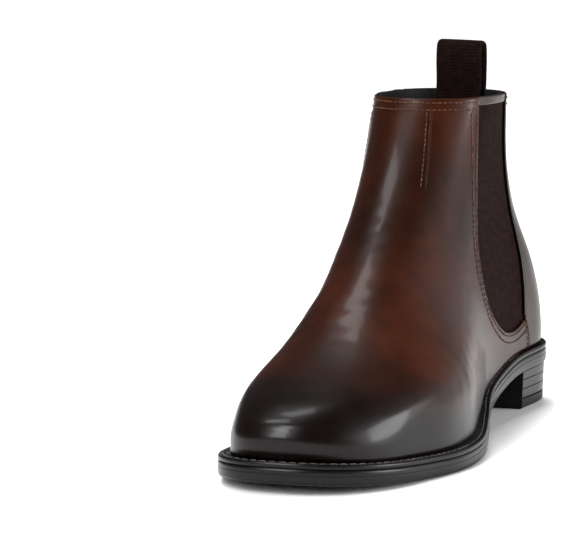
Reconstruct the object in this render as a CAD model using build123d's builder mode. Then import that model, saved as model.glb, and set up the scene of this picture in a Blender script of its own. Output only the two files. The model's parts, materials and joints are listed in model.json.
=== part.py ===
from build123d import *

import os
from math import cos, hypot, pi, sin

# Left dress ankle boot with elastic gores, an inside zip and a webbing pull loop.
# Millimetres. Toe along -Y, outer (lateral) side along +X, inner (medial) side along -X, +Z up.
# Origin: centre of the heel's ground contact face. Every part is modelled in place.

# ---------------------------------------------------------------- driving sizes
BOOT_LENGTH = 298.0      # toe of the sole to back of the heel
BALL_WIDTH = 98.0        # sole width at the ball of the foot
SHAFT_HEIGHT = 156.0     # ground to the top edge at the back
SHAFT_WIDTH = 58.0       # outside width of the shaft at the top edge

OUTSOLE_T = 7.3          # rubber outsole thickness
WELT_T = 2.6             # welt thickness
HEEL_SEAT_Z = 29.5       # ground to the feather line (where upper meets welt) at the heel
TOP_PIECE_T = 5.5        # rubber top piece under the heel
LIFT_T = 4.6             # one leather heel lift
HEEL_BREAST_Y = -22.0    # front face of the heel block

LEATHER_T = 1.4          # outer leather
GORE_T = 0.8             # elastic, tape and stiffener layer
LINING_T = 0.8           # lining leather
PLY_GAP = 0.1            # air between plies, so that they never share a surface
SEAM_GAP = 0.3           # air between two panels that meet at a seam
MARGIN_W = 12.5          # lasting margin turned under the insole

INSOLE_T = 2.5           # insole board
SOCK_T = 1.6             # sock liner
SHANK_L, SHANK_W, SHANK_T = 92.0, 12.0, 1.2

ZIP_TOP_Z, ZIP_LOW_Z = 151.0, 49.0   # ends of the tooth chain
ZIP_BAND = 10.6          # width of tape that shows between the panels
TOOTH_PITCH, TOOTH_L, TOOTH_W, TOOTH_T = 2.0, 2.9, 1.15, 1.3
SLIDER_L, SLIDER_W, SLIDER_T = 11.0, 8.2, 1.5
ZIP_CLEAR = 0.35         # slider to teeth and tape
PULL_L, PULL_W, PULL_T = 28.0, 5.2, 1.3
PIN_R, PIN_CLEAR = 0.8, 0.08         # slider bar in the eye of the pull

LOOP_W = 24.0            # pull-loop webbing width
LOOP_T = 1.7             # webbing thickness
LOOP_RISE = 25.0         # loop height above the top edge
LOOP_BULGE = 12.5        # front-to-back size of the loop at its fullest

KL = BOOT_LENGTH / 298.0             # scale of the stations along the boot
KW = BALL_WIDTH / 98.0               # scale of the forefoot half widths
KS = SHAFT_WIDTH / 58.0              # scale of the shaft half widths
KH = (SHAFT_HEIGHT - HEEL_SEAT_Z) / 126.5   # scale of the heights above the feather line


# ---------------------------------------------------------------- smooth station curves
def curve(points):
    """Smooth line through (station, value) points, held level beyond both ends."""
    pts = sorted(points)
    n = len(pts)
    slope = [(pts[i + 1][1] - pts[i][1]) / (pts[i + 1][0] - pts[i][0]) for i in range(n - 1)]
    mid = [slope[0]]
    for i in range(1, n - 1):
        left, right = pts[i][0] - pts[i - 1][0], pts[i + 1][0] - pts[i][0]
        mid.append((slope[i - 1] * right + slope[i] * left) / (left + right))
    mid.append(slope[-1])

    def value(q):
        q = min(max(q, pts[0][0]), pts[-1][0])
        i = max(k for k in range(n - 1) if pts[k][0] <= q)
        span = pts[i + 1][0] - pts[i][0]
        t = (q - pts[i][0]) / span
        return ((2 * t**3 - 3 * t**2 + 1) * pts[i][1] + (t**3 - 2 * t**2 + t) * span * mid[i]
                + (3 * t**2 - 2 * t**3) * pts[i + 1][1] + (t**3 - t**2) * span * mid[i + 1])

    return value


def over_y(points):
    """A station curve along the boot, stretched with its length."""
    return curve([(y * KL, v) for y, v in points])


def ball(points):
    """Forefoot half widths, stretched with the ball width."""
    return over_y([(y, v * (KW if y < -60 else 1)) for y, v in points])


def up(z):
    """Height of a station above the heel seat, stretched with the shaft height."""
    return z if z <= HEEL_SEAT_Z else HEEL_SEAT_Z + (z - HEEL_SEAT_Z) * KH


# feather line: underside of the upper, seen from the side
feather = over_y([(45, HEEL_SEAT_Z + 0.3), (0, HEEL_SEAT_Z), (-30, HEEL_SEAT_Z - 1.5),
                  (-60, 22.5), (-90, 16), (-120, 11.5), (-150, WELT_T + OUTSOLE_T + 0.1),
                  (-190, WELT_T + OUTSOLE_T + 0.3), (-225, 12.2), (-265, 16)])
TOP_FRONT = (-56.0 * KL, SHAFT_HEIGHT + 2.0)     # top edge, front and back
TOP_BACK = (25.0 * KL, SHAFT_HEIGHT)


def top_edge(y):
    t = (y - TOP_BACK[0]) / (TOP_FRONT[0] - TOP_BACK[0])
    return TOP_BACK[1] + (TOP_FRONT[1] - TOP_BACK[1]) * t


# front ridge and back seam, as y over z
front_y = curve([(up(z), y * KL) for z, y in (
    (0, -249), (15, -249.3), (20, -251.3), (26, -251.5), (32, -247.5), (37, -238), (42, -222),
    (48, -203), (56, -183), (67.5, -160), (80.5, -138), (95.5, -116), (111.5, -97),
    (128.5, -80), (145, -66.5), (160, -56), (175, -50))])
back_y = curve([(up(z), y * KL) for z, y in (
    (0, 36), (29, 36), (36, 38), (46, 39.5), (58, 39.3), (74, 36), (90, 31), (105, 27),
    (120, 24.8), (136, 24.5), (158, 25), (175, 26.5))])
# centre line in plan (the last swings inwards to the toe), and the sideways lean of the shaft
swing = over_y([(45, 5), (0, 2.5), (-60, 0), (-120, -4), (-180, -8.5), (-252, -14)])
lean = curve([(0, 0), (up(30), 0), (up(65), -3.4), (up(100), -6.9), (up(130), -9), (up(160), -10.3),
              (up(175), -10.8)])
# half widths: foot by y (outer and inner side), shaft by relative height
half_lateral = ball([(45, 33), (5, 33), (-30, 32), (-75, 35), (-110, 43.5), (-150, 52),
                     (-175, 51.5), (-205, 44), (-235, 35.5), (-260, 30)])
half_medial = ball([(45, 33), (5, 33), (-30, 31.5), (-75, 29), (-110, 31), (-150, 36),
                    (-180, 38), (-205, 36), (-235, 31.5), (-260, 28)])
half_shaft = curve([(h, w * KS) for h, w in (
    (0, 31), (0.15, 32.5), (0.3, 32), (0.5, 30), (0.7, 28.8), (0.9, 29.3), (1.1, 31))])
# corner size and squareness of the toe end and of the heel end, by relative height
toe_round = curve([(0, 38), (0.06, 42), (0.12, 52), (0.2, 62), (0.35, 64), (0.5, 56),
                   (0.7, 46), (1.0, 40)])
toe_square = curve([(0, 2.9), (0.06, 2.7), (0.12, 2.4), (0.2, 2.2), (0.4, 2.05)])
heel_round = curve([(0, 36), (0.3, 38), (0.6, 40)])
heel_square = curve([(0, 2.2), (0.4, 2.1)])


def corner(t, n):
    t = min(max(t, 0.0), 1.0)
    return (1 - (1 - t) ** n) ** (1 / n)


def wall_x(y, z, side, inset=0.0):
    """X of the upper's outer surface, less an inset, on side +1 (lateral) or -1 (medial)."""
    h = min(max((z - feather(y)) / (top_edge(y) - feather(y)), 0.0), 1.15)
    t = min(max((h - 0.12) / 0.43, 0.0), 1.0)
    blend = t * t * (3 - 2 * t)
    foot = half_lateral(y) if side > 0 else half_medial(y)
    half = foot * (1 - blend) + half_shaft(h) * blend - inset
    half *= corner((y - front_y(z) - inset) / (toe_round(h) - inset), toe_square(h))
    half *= corner((back_y(z) - inset - y) / (heel_round(h) - inset), heel_square(h))
    return side * half + swing(y) + lean(z)


def slice_points(z, inset, count=17):
    """Closed ring of points round the upper at one height, closer together at toe and heel."""
    y0, y1 = front_y(z) + inset, back_y(z) - inset
    ring = []
    for side in (1, -1):
        row = [(wall_x(y0 + (y1 - y0) * (1 - cos(pi * i / 400)) / 2, z, side, inset),
                y0 + (y1 - y0) * (1 - cos(pi * i / 400)) / 2) for i in range(401)]
        run = [0.0]
        for a, b in zip(row, row[1:]):
            run.append(run[-1] + hypot(b[0] - a[0], b[1] - a[1]))
        picked = []
        for k in range(count):
            t = k / (count - 1)
            want = run[-1] * (t - 0.11 * sin(2 * pi * t))
            i = min(max(j for j in range(401) if run[j] <= want + 1e-9), 399)
            f = (want - run[i]) / max(run[i + 1] - run[i], 1e-9)
            picked.append((row[i][0] + (row[i + 1][0] - row[i][0]) * f,
                           row[i][1] + (row[i + 1][1] - row[i][1]) * f))
        ring += picked[:-1] if side > 0 else picked[:0:-1]
    return ring


LEVELS = [0, 9, 15, 20.5, 26, 30.5, 35, 40.5, 47.5, 56, 66, 78, 92, 107, 123, 140, 158, 174]


def form(inset):
    """Solid body of the upper, in from its outer surface by one inset."""
    with BuildPart() as body:
        for level in LEVELS:
            z = up(level)
            with BuildSketch(Plane.XY.offset(z - inset)):
                with BuildLine():
                    Spline(*slice_points(z, inset), periodic=True)
                make_face()
        loft()
    return body.part


def envelope(low, high, y0=-400.0, y1=120.0):
    """Slab across the boot from the feather line plus low up to the top edge plus high."""
    stations = [y0, -258 * KL, -225 * KL, -190 * KL, -150 * KL, -120 * KL, -90 * KL, -60 * KL,
                -30 * KL, 0, 45 * KL, y1]
    with BuildPart() as slab:
        with BuildSketch(Plane.YZ):
            with BuildLine():
                Spline(*[(y, feather(y) + low) for y in stations])
                Polyline((y1, feather(y1) + low), (y1, top_edge(y1) + high),
                         (y0, top_edge(y0) + high), (y0, feather(y0) + low))
            make_face()
        extrude(amount=130, both=True)
    return slab.part


def bottom_slab(low, high):
    """Slab across the boot between two lines parallel to the feather line."""
    stations = [-400, -258 * KL, -225 * KL, -190 * KL, -150 * KL, -120 * KL, -90 * KL, -60 * KL,
                -30 * KL, 0, 45 * KL, 120]
    with BuildPart() as slab:
        with BuildSketch(Plane.YZ):
            with BuildLine():
                Spline(*[(y, feather(y) + low) for y in stations])
                Line((120, feather(120) + low), (120, feather(120) + high))
                Spline(*[(y, feather(y) + high) for y in reversed(stations)])
                Line((-400, feather(-400) + high), (-400, feather(-400) + low))
            make_face()
        extrude(amount=130, both=True)
    return slab.part


def prism(seam, around, x0=-130.0, x1=130.0):
    """Block across the boot whose side-view outline is a smooth seam closed by straight lines."""
    with BuildPart() as block:
        with BuildSketch(Plane.YZ.offset(x0)):
            with BuildLine():
                Spline(*seam)
                Polyline(seam[-1], *around, seam[0])
            make_face()
        extrude(amount=x1 - x0)
    return block.part


def shifted(line, dy, dz=0.0):
    return [(y + dy, z + dz) for y, z in line]


# ---------------------------------------------------------------- seam lines, side view (y, z)
MID_X = -4.0             # plane that parts the outer side from the inner side
HIGH = SHAFT_HEIGHT + 30


def station(points):
    return [(y * KL, up(z)) for y, z in points]


# front edge of both gores, running from the top edge down and back to the gore's low point
GORE_FRONT = station([(-37, 158), (-42.5, 141), (-50, 120), (-57, 100), (-61.5, 85),
                      (-63.5, 71), (-60, 58), (-51, 48.5), (-40, 42.5), (-29, 40.8)])
GORE_FRONT = [(GORE_FRONT[0][0] + 7, HIGH)] + GORE_FRONT
# outer side: rise to the notch, then the seam between vamp and quarter down to the welt
NOTCH_OUT = station([(-20, 41.8), (-11, 44.5)])
SEAM_OUT = station([(-8.8, 38), (-8.4, 32)]) + [(-9.0, 20), (-9.0, -20)]
BACK_EDGE_OUT = [(1.5 * KL, HIGH)] + station([(-0.8, 158), (-2, 140), (-3.2, 120), (-4.2, 100),
                                              (-5.2, 80), (-7, 62), (-9.8, 48.5)])


# the zip: a straight chain on the inner side
def on_wall(y, z, side, inset=0.0):
    return Vector(wall_x(y, z, side, inset), y, z - inset)


ZIP_Y_TOP, ZIP_Y_LOW = -9.5 * KL, -15.0 * KL


def zip_y(z):
    t = (z - ZIP_LOW_Z) / (ZIP_TOP_Z - ZIP_LOW_Z)
    return ZIP_Y_LOW + (ZIP_Y_TOP - ZIP_Y_LOW) * t


CHAIN_TOP = on_wall(zip_y(ZIP_TOP_Z), ZIP_TOP_Z, -1)
CHAIN_LOW = on_wall(zip_y(ZIP_LOW_Z), ZIP_LOW_Z, -1)
CHAIN_UP = (CHAIN_TOP - CHAIN_LOW).normalized()
CHAIN_LENGTH = (CHAIN_TOP - CHAIN_LOW).length


def wall_out(y, z, side):
    """Outward unit normal of the upper's wall."""
    along = on_wall(y + 0.5, z, side) - on_wall(y - 0.5, z, side)
    rise = on_wall(y, z + 0.5, side) - on_wall(y, z - 0.5, side)
    return along.cross(rise).normalized() * side


CHAIN_OUT = wall_out(zip_y(100), 100, -1)
CHAIN_OUT = (CHAIN_OUT - CHAIN_UP * CHAIN_OUT.dot(CHAIN_UP)).normalized()
CHAIN_FORE = CHAIN_UP.cross(CHAIN_OUT)


def zip_plane(s, lift=0.0):
    """Working plane on the zip: x to the toe, y up the chain, z out; s from the chain's low end."""
    return Plane(origin=CHAIN_LOW + CHAIN_UP * s + CHAIN_OUT * lift, x_dir=CHAIN_FORE,
                 z_dir=CHAIN_OUT)


def zip_line(dy):
    """Side-view line beside the chain, carried on past both of its ends."""
    t = (ZIP_Y_TOP - ZIP_Y_LOW) / (ZIP_TOP_Z - ZIP_LOW_Z)
    return [(zip_y(z) + dy, z) for z in (ZIP_LOW_Z - 3.0, 70.0, 90.0, 110.0, 130.0, 150.0)] + [
        (ZIP_Y_TOP + (HIGH - ZIP_TOP_Z) * t + dy, HIGH)]


HALF_BAND = ZIP_BAND / 2
STRAP_W = 7.5            # leather strip behind the zip
NOTCH_IN = station([(-33, 41.2), (-26, 43.5)])
SEAM_IN = [(-24.5, 36), (-24.8, 31), (-25.0, 20), (-25.0, -20)]
BACK_EDGE_IN = list(reversed(zip_line(HALF_BAND + STRAP_W))) + [(-3.0, 40), (-3.4, 31), (-3.6, -20)]

# ---------------------------------------------------------------- plies of the upper
MID_IN = LEATHER_T + PLY_GAP                 # outside of the middle ply
LINE_IN = MID_IN + GORE_T + PLY_GAP          # outside of the lining
CAVITY_IN = LINE_IN + LINING_T               # face towards the foot

FORM_OUT, FORM_LEATHER = form(0), form(LEATHER_T)
FORM_MID, FORM_MID_IN = form(MID_IN), form(MID_IN + GORE_T)
FORM_LINE, FORM_CAVITY = form(LINE_IN), form(CAVITY_IN)
FORM_MARGIN = form(LEATHER_T + MARGIN_W)

# outer leather with its lasting margin turned under; middle ply; lining
LEATHER = (FORM_OUT & envelope(0, 0)) - (FORM_LEATHER & envelope(LEATHER_T, 40)) \
    - (FORM_MARGIN & envelope(-30, 40))
MIDDLE = (FORM_MID & envelope(MID_IN, -1.2)) - FORM_MID_IN
LINING = (FORM_LINE & envelope(MID_IN, -0.4)) - FORM_CAVITY


def side_block(outline, side, gap=0.0):
    """Prism on one side of the boot from an outline: (smooth seam, straight remainder)."""
    seam, rest = outline
    if side > 0:
        return prism(seam, rest, MID_X + gap, 130)
    return prism(seam, rest, -130, MID_X - gap)


REAR = [(140.0, -20.0), (140.0, HIGH)]       # closes an outline round the back of the boot


def behind(line):
    return line, REAR


# ---------------------------------------------------------------- vamp
VAMP_EDGE_OUT = GORE_FRONT + NOTCH_OUT + SEAM_OUT
VAMP_EDGE_IN = GORE_FRONT[:-1] + NOTCH_IN + SEAM_IN
with BuildPart() as vamp:
    add(LEATHER)
    add(side_block(behind(VAMP_EDGE_OUT), 1), mode=Mode.SUBTRACT)
    add(side_block(behind(VAMP_EDGE_IN), -1), mode=Mode.SUBTRACT)
vamp.part.label = "vamp"

# ---------------------------------------------------------------- back quarter (wraps the heel)
QUARTER_EDGE_OUT = BACK_EDGE_OUT + shifted(SEAM_OUT, SEAM_GAP)
QUARTER_EDGE_IN = shifted(BACK_EDGE_IN, SEAM_GAP)
with BuildPart() as back_quarter:
    add(side_block(behind(QUARTER_EDGE_OUT), 1, gap=-0.01) & LEATHER)
    add(side_block(behind(QUARTER_EDGE_IN), -1) & LEATHER)
back_quarter.part.label = "back_quarter"

# ---------------------------------------------------------------- strap between zip and quarter
STRAP_OUTLINE = (list(reversed(zip_line(HALF_BAND))) + [(zip_y(46) - HALF_BAND, 45.6)]
                 + shifted(SEAM_IN, SEAM_GAP) + list(reversed(BACK_EDGE_IN)))
with BuildPart() as zip_strap:
    with BuildSketch(Plane.YZ.offset(MID_X)):
        with BuildLine():
            Polyline(*STRAP_OUTLINE, close=True)
        make_face()
    extrude(amount=-120)
    add(LEATHER, mode=Mode.INTERSECT)
zip_strap.part.label = "zip_strap"

# ---------------------------------------------------------------- elastic gores (under the leather edges)
UNDERLAP = 6.0           # how far a gore runs on under the leather round it
GORE_LOW = station([(-57, 48), (-46, 39.5), (-34, 36.5)])
GORE_OUTLINE_OUT = shifted(GORE_FRONT[:7], -UNDERLAP) + GORE_LOW + [(-14, 38.5), (-2.5, 44)]
with BuildPart() as gore_lateral:
    add(MIDDLE & prism(GORE_OUTLINE_OUT, list(reversed(shifted(BACK_EDGE_OUT[:-1], UNDERLAP))),
                       MID_X, 130))
gore_lateral.part.label = "gore_lateral"

GORE_OUTLINE_IN = shifted(GORE_FRONT[:7], -UNDERLAP) + GORE_LOW + [(-26, 40.0)]
with BuildPart() as gore_medial:
    with BuildSketch(Plane.YZ.offset(MID_X)):
        with BuildLine():
            Polyline(*GORE_OUTLINE_IN, (zip_y(44) - HALF_BAND, 44), *zip_line(-HALF_BAND)[1:],
                     close=True)
        make_face()
    extrude(amount=-120)
    add(MIDDLE, mode=Mode.INTERSECT)
gore_medial.part.label = "gore_medial"

# ---------------------------------------------------------------- bindings over the gores' top edges
BINDING_H = 4.0
BINDING_RING = (form(LEATHER_T - 0.75) & envelope(60, 0)) - FORM_MID - envelope(60, -BINDING_H)
with BuildPart() as binding_lateral:
    add(BINDING_RING & side_block(behind(shifted(GORE_FRONT, SEAM_GAP)), 1))
    add(side_block(behind(shifted(BACK_EDGE_OUT, -SEAM_GAP)), 1), mode=Mode.SUBTRACT)
binding_lateral.part.label = "binding_lateral"
with BuildPart() as binding_medial:
    add(BINDING_RING & side_block(behind(shifted(GORE_FRONT, SEAM_GAP)), -1))
    add(prism(zip_line(-HALF_BAND), REAR[:0:-1] + [(140.0, 20.0)], -130, MID_X), mode=Mode.SUBTRACT)
binding_medial.part.label = "binding_medial"

# ---------------------------------------------------------------- zip tapes and chain
TAPE_EDGE = 0.5          # tape edge to the chain's centre line
TOOTH_BASE = -MID_IN - 0.35              # underside of the teeth, from the leather's face
TOOTH_TOP = TOOTH_BASE + TOOTH_T
SLIDER_BASE = TOOTH_TOP + ZIP_CLEAR
FLANGE_DROP = 0.3        # slider's flanges below its plate


def chain_room(half_width, low):
    """Straight room along the chain above a level, for the teeth or the passing slider."""
    with BuildPart() as room:
        with BuildSketch(zip_plane(CHAIN_LENGTH / 2, low)):
            Rectangle(2 * half_width, CHAIN_LENGTH + 30)
        extrude(amount=6.0)
    return room.part


def tape(dy0, dy1):
    """Strip of the middle ply beside the chain, between two distances from its centre line."""
    with BuildPart() as strip:
        with BuildSketch(Plane.YZ.offset(MID_X)):
            with BuildLine():
                Polyline(*zip_line(dy0), *reversed(zip_line(dy1)), close=True)
            make_face()
        extrude(amount=-120)
        add(MIDDLE, mode=Mode.INTERSECT)
    return strip.part - chain_room(SLIDER_W / 2 + 0.3, SLIDER_BASE - FLANGE_DROP - 0.1)


with BuildPart() as zip_tape_front:
    add(tape(-HALF_BAND + 0.2, -TAPE_EDGE))
zip_tape_front.part.label = "zip_tape_front"
with BuildPart() as zip_tape_rear:
    add(tape(TAPE_EDGE, HALF_BAND + 5.0))
zip_tape_rear.part.label = "zip_tape_rear"


def tooth_row(side, first):
    """One row of zip teeth on the bead of its tape; side +1 is the toe side."""
    count = int((CHAIN_LENGTH - 2 - first) / TOOTH_PITCH)
    spots = [zip_plane(first + k * TOOTH_PITCH, TOOTH_BASE + TOOTH_T / 2).location
             for k in range(count)]
    with BuildPart() as row:
        with Locations(*spots):
            with Locations((side * (TOOTH_L / 2 - 0.45), 0, 0)):
                Box(TOOTH_L, TOOTH_W * 0.7, TOOTH_T)
        with Locations(zip_plane(CHAIN_LENGTH / 2, TOOTH_BASE + TOOTH_T / 2).location):
            with Locations((side * (TOOTH_L - 0.75), 0, 0)):
                Box(0.5, CHAIN_LENGTH - 1, TOOTH_T * 0.6)
    return row.part


with BuildPart() as zip_teeth_front:
    add(tooth_row(1, 1.0))
zip_teeth_front.part.label = "zip_teeth_front"
with BuildPart() as zip_teeth_rear:
    add(tooth_row(-1, 1.0 + TOOTH_PITCH / 2))
zip_teeth_rear.part.label = "zip_teeth_rear"

# ---------------------------------------------------------------- slider and pull
SLIDER_S = CHAIN_LENGTH - SLIDER_L / 2 - 0.5     # slider centre, closed
SLIDER_TOP = SLIDER_BASE + SLIDER_T
EYE_R = PIN_R + PIN_CLEAR + 0.75
PIN_LIFT = SLIDER_TOP + EYE_R + 0.15
FLANGE_IN = TOOTH_L - 0.45 + ZIP_CLEAR           # inside of the flanges beside the teeth
LUG_IN, LUG_T, LUG_L = PULL_W / 2 + 0.15, 1.0, 3.6

with BuildPart() as zip_slider:
    with BuildSketch(zip_plane(SLIDER_S, SLIDER_BASE)):
        with BuildLine():
            Polyline((-SLIDER_W / 2 + 1.0, -SLIDER_L / 2), (SLIDER_W / 2 - 1.0, -SLIDER_L / 2),
                     (SLIDER_W / 2, SLIDER_L / 2 - 4.0), (SLIDER_W / 2 - 0.4, SLIDER_L / 2),
                     (-SLIDER_W / 2 + 0.4, SLIDER_L / 2), (-SLIDER_W / 2, SLIDER_L / 2 - 4.0),
                     close=True)
        make_face()
    extrude(amount=SLIDER_T)
    with BuildSketch(zip_plane(SLIDER_S, SLIDER_BASE - FLANGE_DROP)):
        with Locations((FLANGE_IN + 0.45, 0), (-FLANGE_IN - 0.45, 0)):
            Rectangle(0.9, SLIDER_L - 2.0)
    extrude(amount=FLANGE_DROP + 0.2)
    with BuildSketch(zip_plane(SLIDER_S, SLIDER_TOP - 0.1)):
        with Locations((LUG_IN + LUG_T / 2, 0), (-LUG_IN - LUG_T / 2, 0)):
            Rectangle(LUG_T, LUG_L)
    extrude(amount=PIN_LIFT - SLIDER_TOP + PIN_R + 0.6)
    with BuildSketch(Plane(origin=zip_plane(SLIDER_S, PIN_LIFT).origin, x_dir=CHAIN_UP,
                           z_dir=CHAIN_FORE)):
        Circle(PIN_R)
    extrude(amount=LUG_IN + LUG_T / 2, both=True)
zip_slider.part.label = "zip_slider"

# the pull hangs straight down from the slider's bar
PIN = zip_plane(SLIDER_S, PIN_LIFT).origin
DOWN = Vector(0, 0, -1)
HANG = (DOWN - CHAIN_FORE * DOWN.dot(CHAIN_FORE)).normalized()
PULL_OUT = CHAIN_FORE.cross(HANG * -1)
with BuildPart() as zip_pull:
    with BuildSketch(Plane(origin=PIN, x_dir=CHAIN_FORE, z_dir=PULL_OUT)):
        with Locations((0, -PULL_L / 2)):
            RectangleRounded(PULL_W, PULL_L, 1.6)
        with Locations((0, -PULL_L + 4.2)):
            RectangleRounded(2.4, 3.6, 0.9, mode=Mode.SUBTRACT)
    extrude(amount=PULL_T / 2, both=True)
    with BuildSketch(Plane(origin=PIN, x_dir=CHAIN_UP, z_dir=CHAIN_FORE)):
        Circle(EYE_R)
    extrude(amount=PULL_W / 2, both=True)
    with BuildSketch(Plane(origin=PIN, x_dir=CHAIN_UP, z_dir=CHAIN_FORE)):
        Circle(PIN_R + PIN_CLEAR)
    extrude(amount=PULL_W, both=True, mode=Mode.SUBTRACT)
zip_pull.part.label = "zip_pull"

# ---------------------------------------------------------------- stiffeners in the middle ply
with BuildPart() as toe_puff:
    add(MIDDLE)
    with BuildSketch(Plane.XZ.offset(202 * KL)):
        Rectangle(300, 400)
    extrude(amount=120, mode=Mode.INTERSECT)
toe_puff.part.label = "toe_puff"

COUNTER_TOP = [(y * KL, up(z)) for y, z in ((9.5, 20), (9.8, 40), (12, 58), (19, 72), (29, 79),
                                            (41, 81), (60, 82))]
with BuildPart() as heel_counter:
    add(MIDDLE & prism(COUNTER_TOP, [(60 * KL, 20.0)]))
heel_counter.part.label = "heel_counter"

# ---------------------------------------------------------------- lining
LINE_SHIFT = 1.2         # lining edges stand back from the leather's
ZIP_GUARD_W = 9.0
with BuildPart() as vamp_lining:
    add(LINING)
    add(side_block(behind(shifted(VAMP_EDGE_OUT, -LINE_SHIFT)), 1), mode=Mode.SUBTRACT)
    add(side_block(behind(shifted(VAMP_EDGE_IN, -LINE_SHIFT)), -1), mode=Mode.SUBTRACT)
vamp_lining.part.label = "vamp_lining"
with BuildPart() as quarter_lining:
    add(LINING & side_block(behind(shifted(QUARTER_EDGE_OUT, -LINE_SHIFT + 0.3)), 1, gap=-0.01))
    add(LINING & prism(list(reversed(zip_line(ZIP_GUARD_W + 0.5))) + [(-6, 40), (-20, 33),
                       (-25.5, 29), (-25.7, 20), (-25.7, -20)], REAR, -130, MID_X))
quarter_lining.part.label = "quarter_lining"
# leather guard behind the zip, sewn along its rear edge
GUARD_SHIFT = 0.6        # guard stands this much further in than the lining
with BuildPart() as zip_guard:
    add(Pos(GUARD_SHIFT, 0, 0) * (LINING & prism(
        zip_line(-ZIP_GUARD_W), list(reversed(zip_line(ZIP_GUARD_W))), -130, MID_X)))
    add(chain_room(TOOTH_L + 0.6, TOOTH_BASE - 0.1), mode=Mode.SUBTRACT)
zip_guard.part.label = "zip_guard"

# ---------------------------------------------------------------- bottom: insole, filler, shank
with BuildPart() as insole_board:
    add(form(CAVITY_IN + 0.1) & bottom_slab(MID_IN, MID_IN + INSOLE_T))
insole_board.part.label = "insole_board"
SOCK_LOW = MID_IN + INSOLE_T + PLY_GAP
with BuildPart() as sock_liner:
    add(form(CAVITY_IN + 0.3) & bottom_slab(SOCK_LOW, SOCK_LOW + SOCK_T))
sock_liner.part.label = "sock_liner"

FILLER_IN = LEATHER_T + MARGIN_W + PLY_GAP
with BuildPart() as shank:
    with BuildSketch(Plane.XY):
        with Locations((0, -18 * KL - SHANK_L / 2)):
            RectangleRounded(SHANK_W, SHANK_L, 5.5)
    extrude(amount=60)
    add(bottom_slab(-0.4, -0.4 + SHANK_T), mode=Mode.INTERSECT)
shank.part.label = "shank"
SHANK_BED = (Pos(0, -18 * KL - SHANK_L / 2, 0) * Box(SHANK_W + 0.4, SHANK_L + 0.4, 120)) \
    & bottom_slab(-0.5, -0.3 + SHANK_T)
with BuildPart() as bottom_filler:
    add(form(FILLER_IN) & bottom_slab(-WELT_T, LEATHER_T))
    add(SHANK_BED, mode=Mode.SUBTRACT)
bottom_filler.part.label = "bottom_filler"

# ---------------------------------------------------------------- sole outline in plan
# how far the sole stands out beyond the upper, along the boot
edge_grow = over_y([(45, 3.2), (10, 2.6), (-20, 2.2), (-60, 2.4), (-110, 4.6), (-200, 5.4),
                    (-270, 5.6)])


def sole_ring(grow=0.0, y0=None):
    """Closed ring round the sole, beyond the upper's own outline."""
    ring = slice_points(0, 0.0, 22)
    out = []
    for i, (x, y) in enumerate(ring):
        (ax, ay), (bx, by) = ring[i - 1], ring[(i + 1) % len(ring)]
        size = hypot(bx - ax, by - ay)
        nx, ny = -(by - ay) / size, (bx - ax) / size
        step = edge_grow(y) + grow
        out.append((x - nx * step, y - ny * step))
    return out


def sole_block(grow, z0, z1):
    """Upright block with the sole's outline."""
    with BuildPart() as block:
        with BuildSketch(Plane.XY.offset(z0)):
            with BuildLine():
                Spline(*sole_ring(grow), periodic=True)
            make_face()
        extrude(amount=z1 - z0)
    return block.part


SOLE = sole_block(0.0, -5, 60)

# ---------------------------------------------------------------- welt, outsole
with BuildPart() as welt:
    add(SOLE & bottom_slab(-WELT_T, -PLY_GAP))
    add(FORM_MARGIN & envelope(-40, 40), mode=Mode.SUBTRACT)
welt.part.label = "welt"
OUT_TOP = -WELT_T - PLY_GAP
with BuildPart() as outsole:
    add(SOLE & bottom_slab(OUT_TOP - OUTSOLE_T, OUT_TOP))
outsole.part.label = "outsole"

# ---------------------------------------------------------------- heel: top piece and lifts
with BuildPart() as heel_solid:
    for z, grow in ((0, -1.6), (14, -1.0), (30, -0.5)):
        with BuildSketch(Plane.XY.offset(z)):
            with BuildLine():
                Spline(*sole_ring(grow), periodic=True)
            make_face()
    loft()
    with BuildSketch(Plane.YZ):
        with BuildLine():
            Polyline((HEEL_BREAST_Y, 0), (HEEL_BREAST_Y - 1.5, 30), (80, 30), (80, 0), close=True)
        make_face()
    extrude(amount=80, both=True, mode=Mode.INTERSECT)


def heel_layer(z0, z1):
    cut = Pos(0, 0, (z0 + z1) / 2) * Box(200, 300, z1 - z0, mode=Mode.PRIVATE)
    return heel_solid.part & cut


LIFT_1 = TOP_PIECE_T + PLY_GAP
LIFT_2 = LIFT_1 + LIFT_T + PLY_GAP
LIFT_3 = LIFT_2 + LIFT_T + PLY_GAP
with BuildPart() as heel_top_piece:
    add(heel_layer(0, TOP_PIECE_T))
heel_top_piece.part.label = "heel_top_piece"
with BuildPart() as heel_lift_lower:
    add(heel_layer(LIFT_1, LIFT_1 + LIFT_T))
heel_lift_lower.part.label = "heel_lift_lower"
with BuildPart() as heel_lift_middle:
    add(heel_layer(LIFT_2, LIFT_2 + LIFT_T))
heel_lift_middle.part.label = "heel_lift_middle"
with BuildPart() as heel_lift_upper:
    add(heel_layer(LIFT_3, 30) - bottom_slab(OUT_TOP - OUTSOLE_T - PLY_GAP, 60))
heel_lift_upper.part.label = "heel_lift_upper"

# ---------------------------------------------------------------- pull loop
LOOP_X = wall_x(0, SHAFT_HEIGHT, 1) / 2 + wall_x(0, SHAFT_HEIGHT, -1) / 2
LOOP_OUT_Y = back_y(SHAFT_HEIGHT) + 0.25                    # outer leg against the quarter
LOOP_IN_Y = LOOP_OUT_Y - 0.25 - CAVITY_IN - 4.2 - LOOP_T    # inner leg against the lining
HINGE_Y = (LOOP_OUT_Y + LOOP_T + LOOP_IN_Y) / 2
HINGE_Z = SHAFT_HEIGHT + 2.9
TAB_TOP, LOOP_FOOT = HINGE_Z - 2.4, HINGE_Z + 2.4   # open between leg and loop to let it swing


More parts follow.
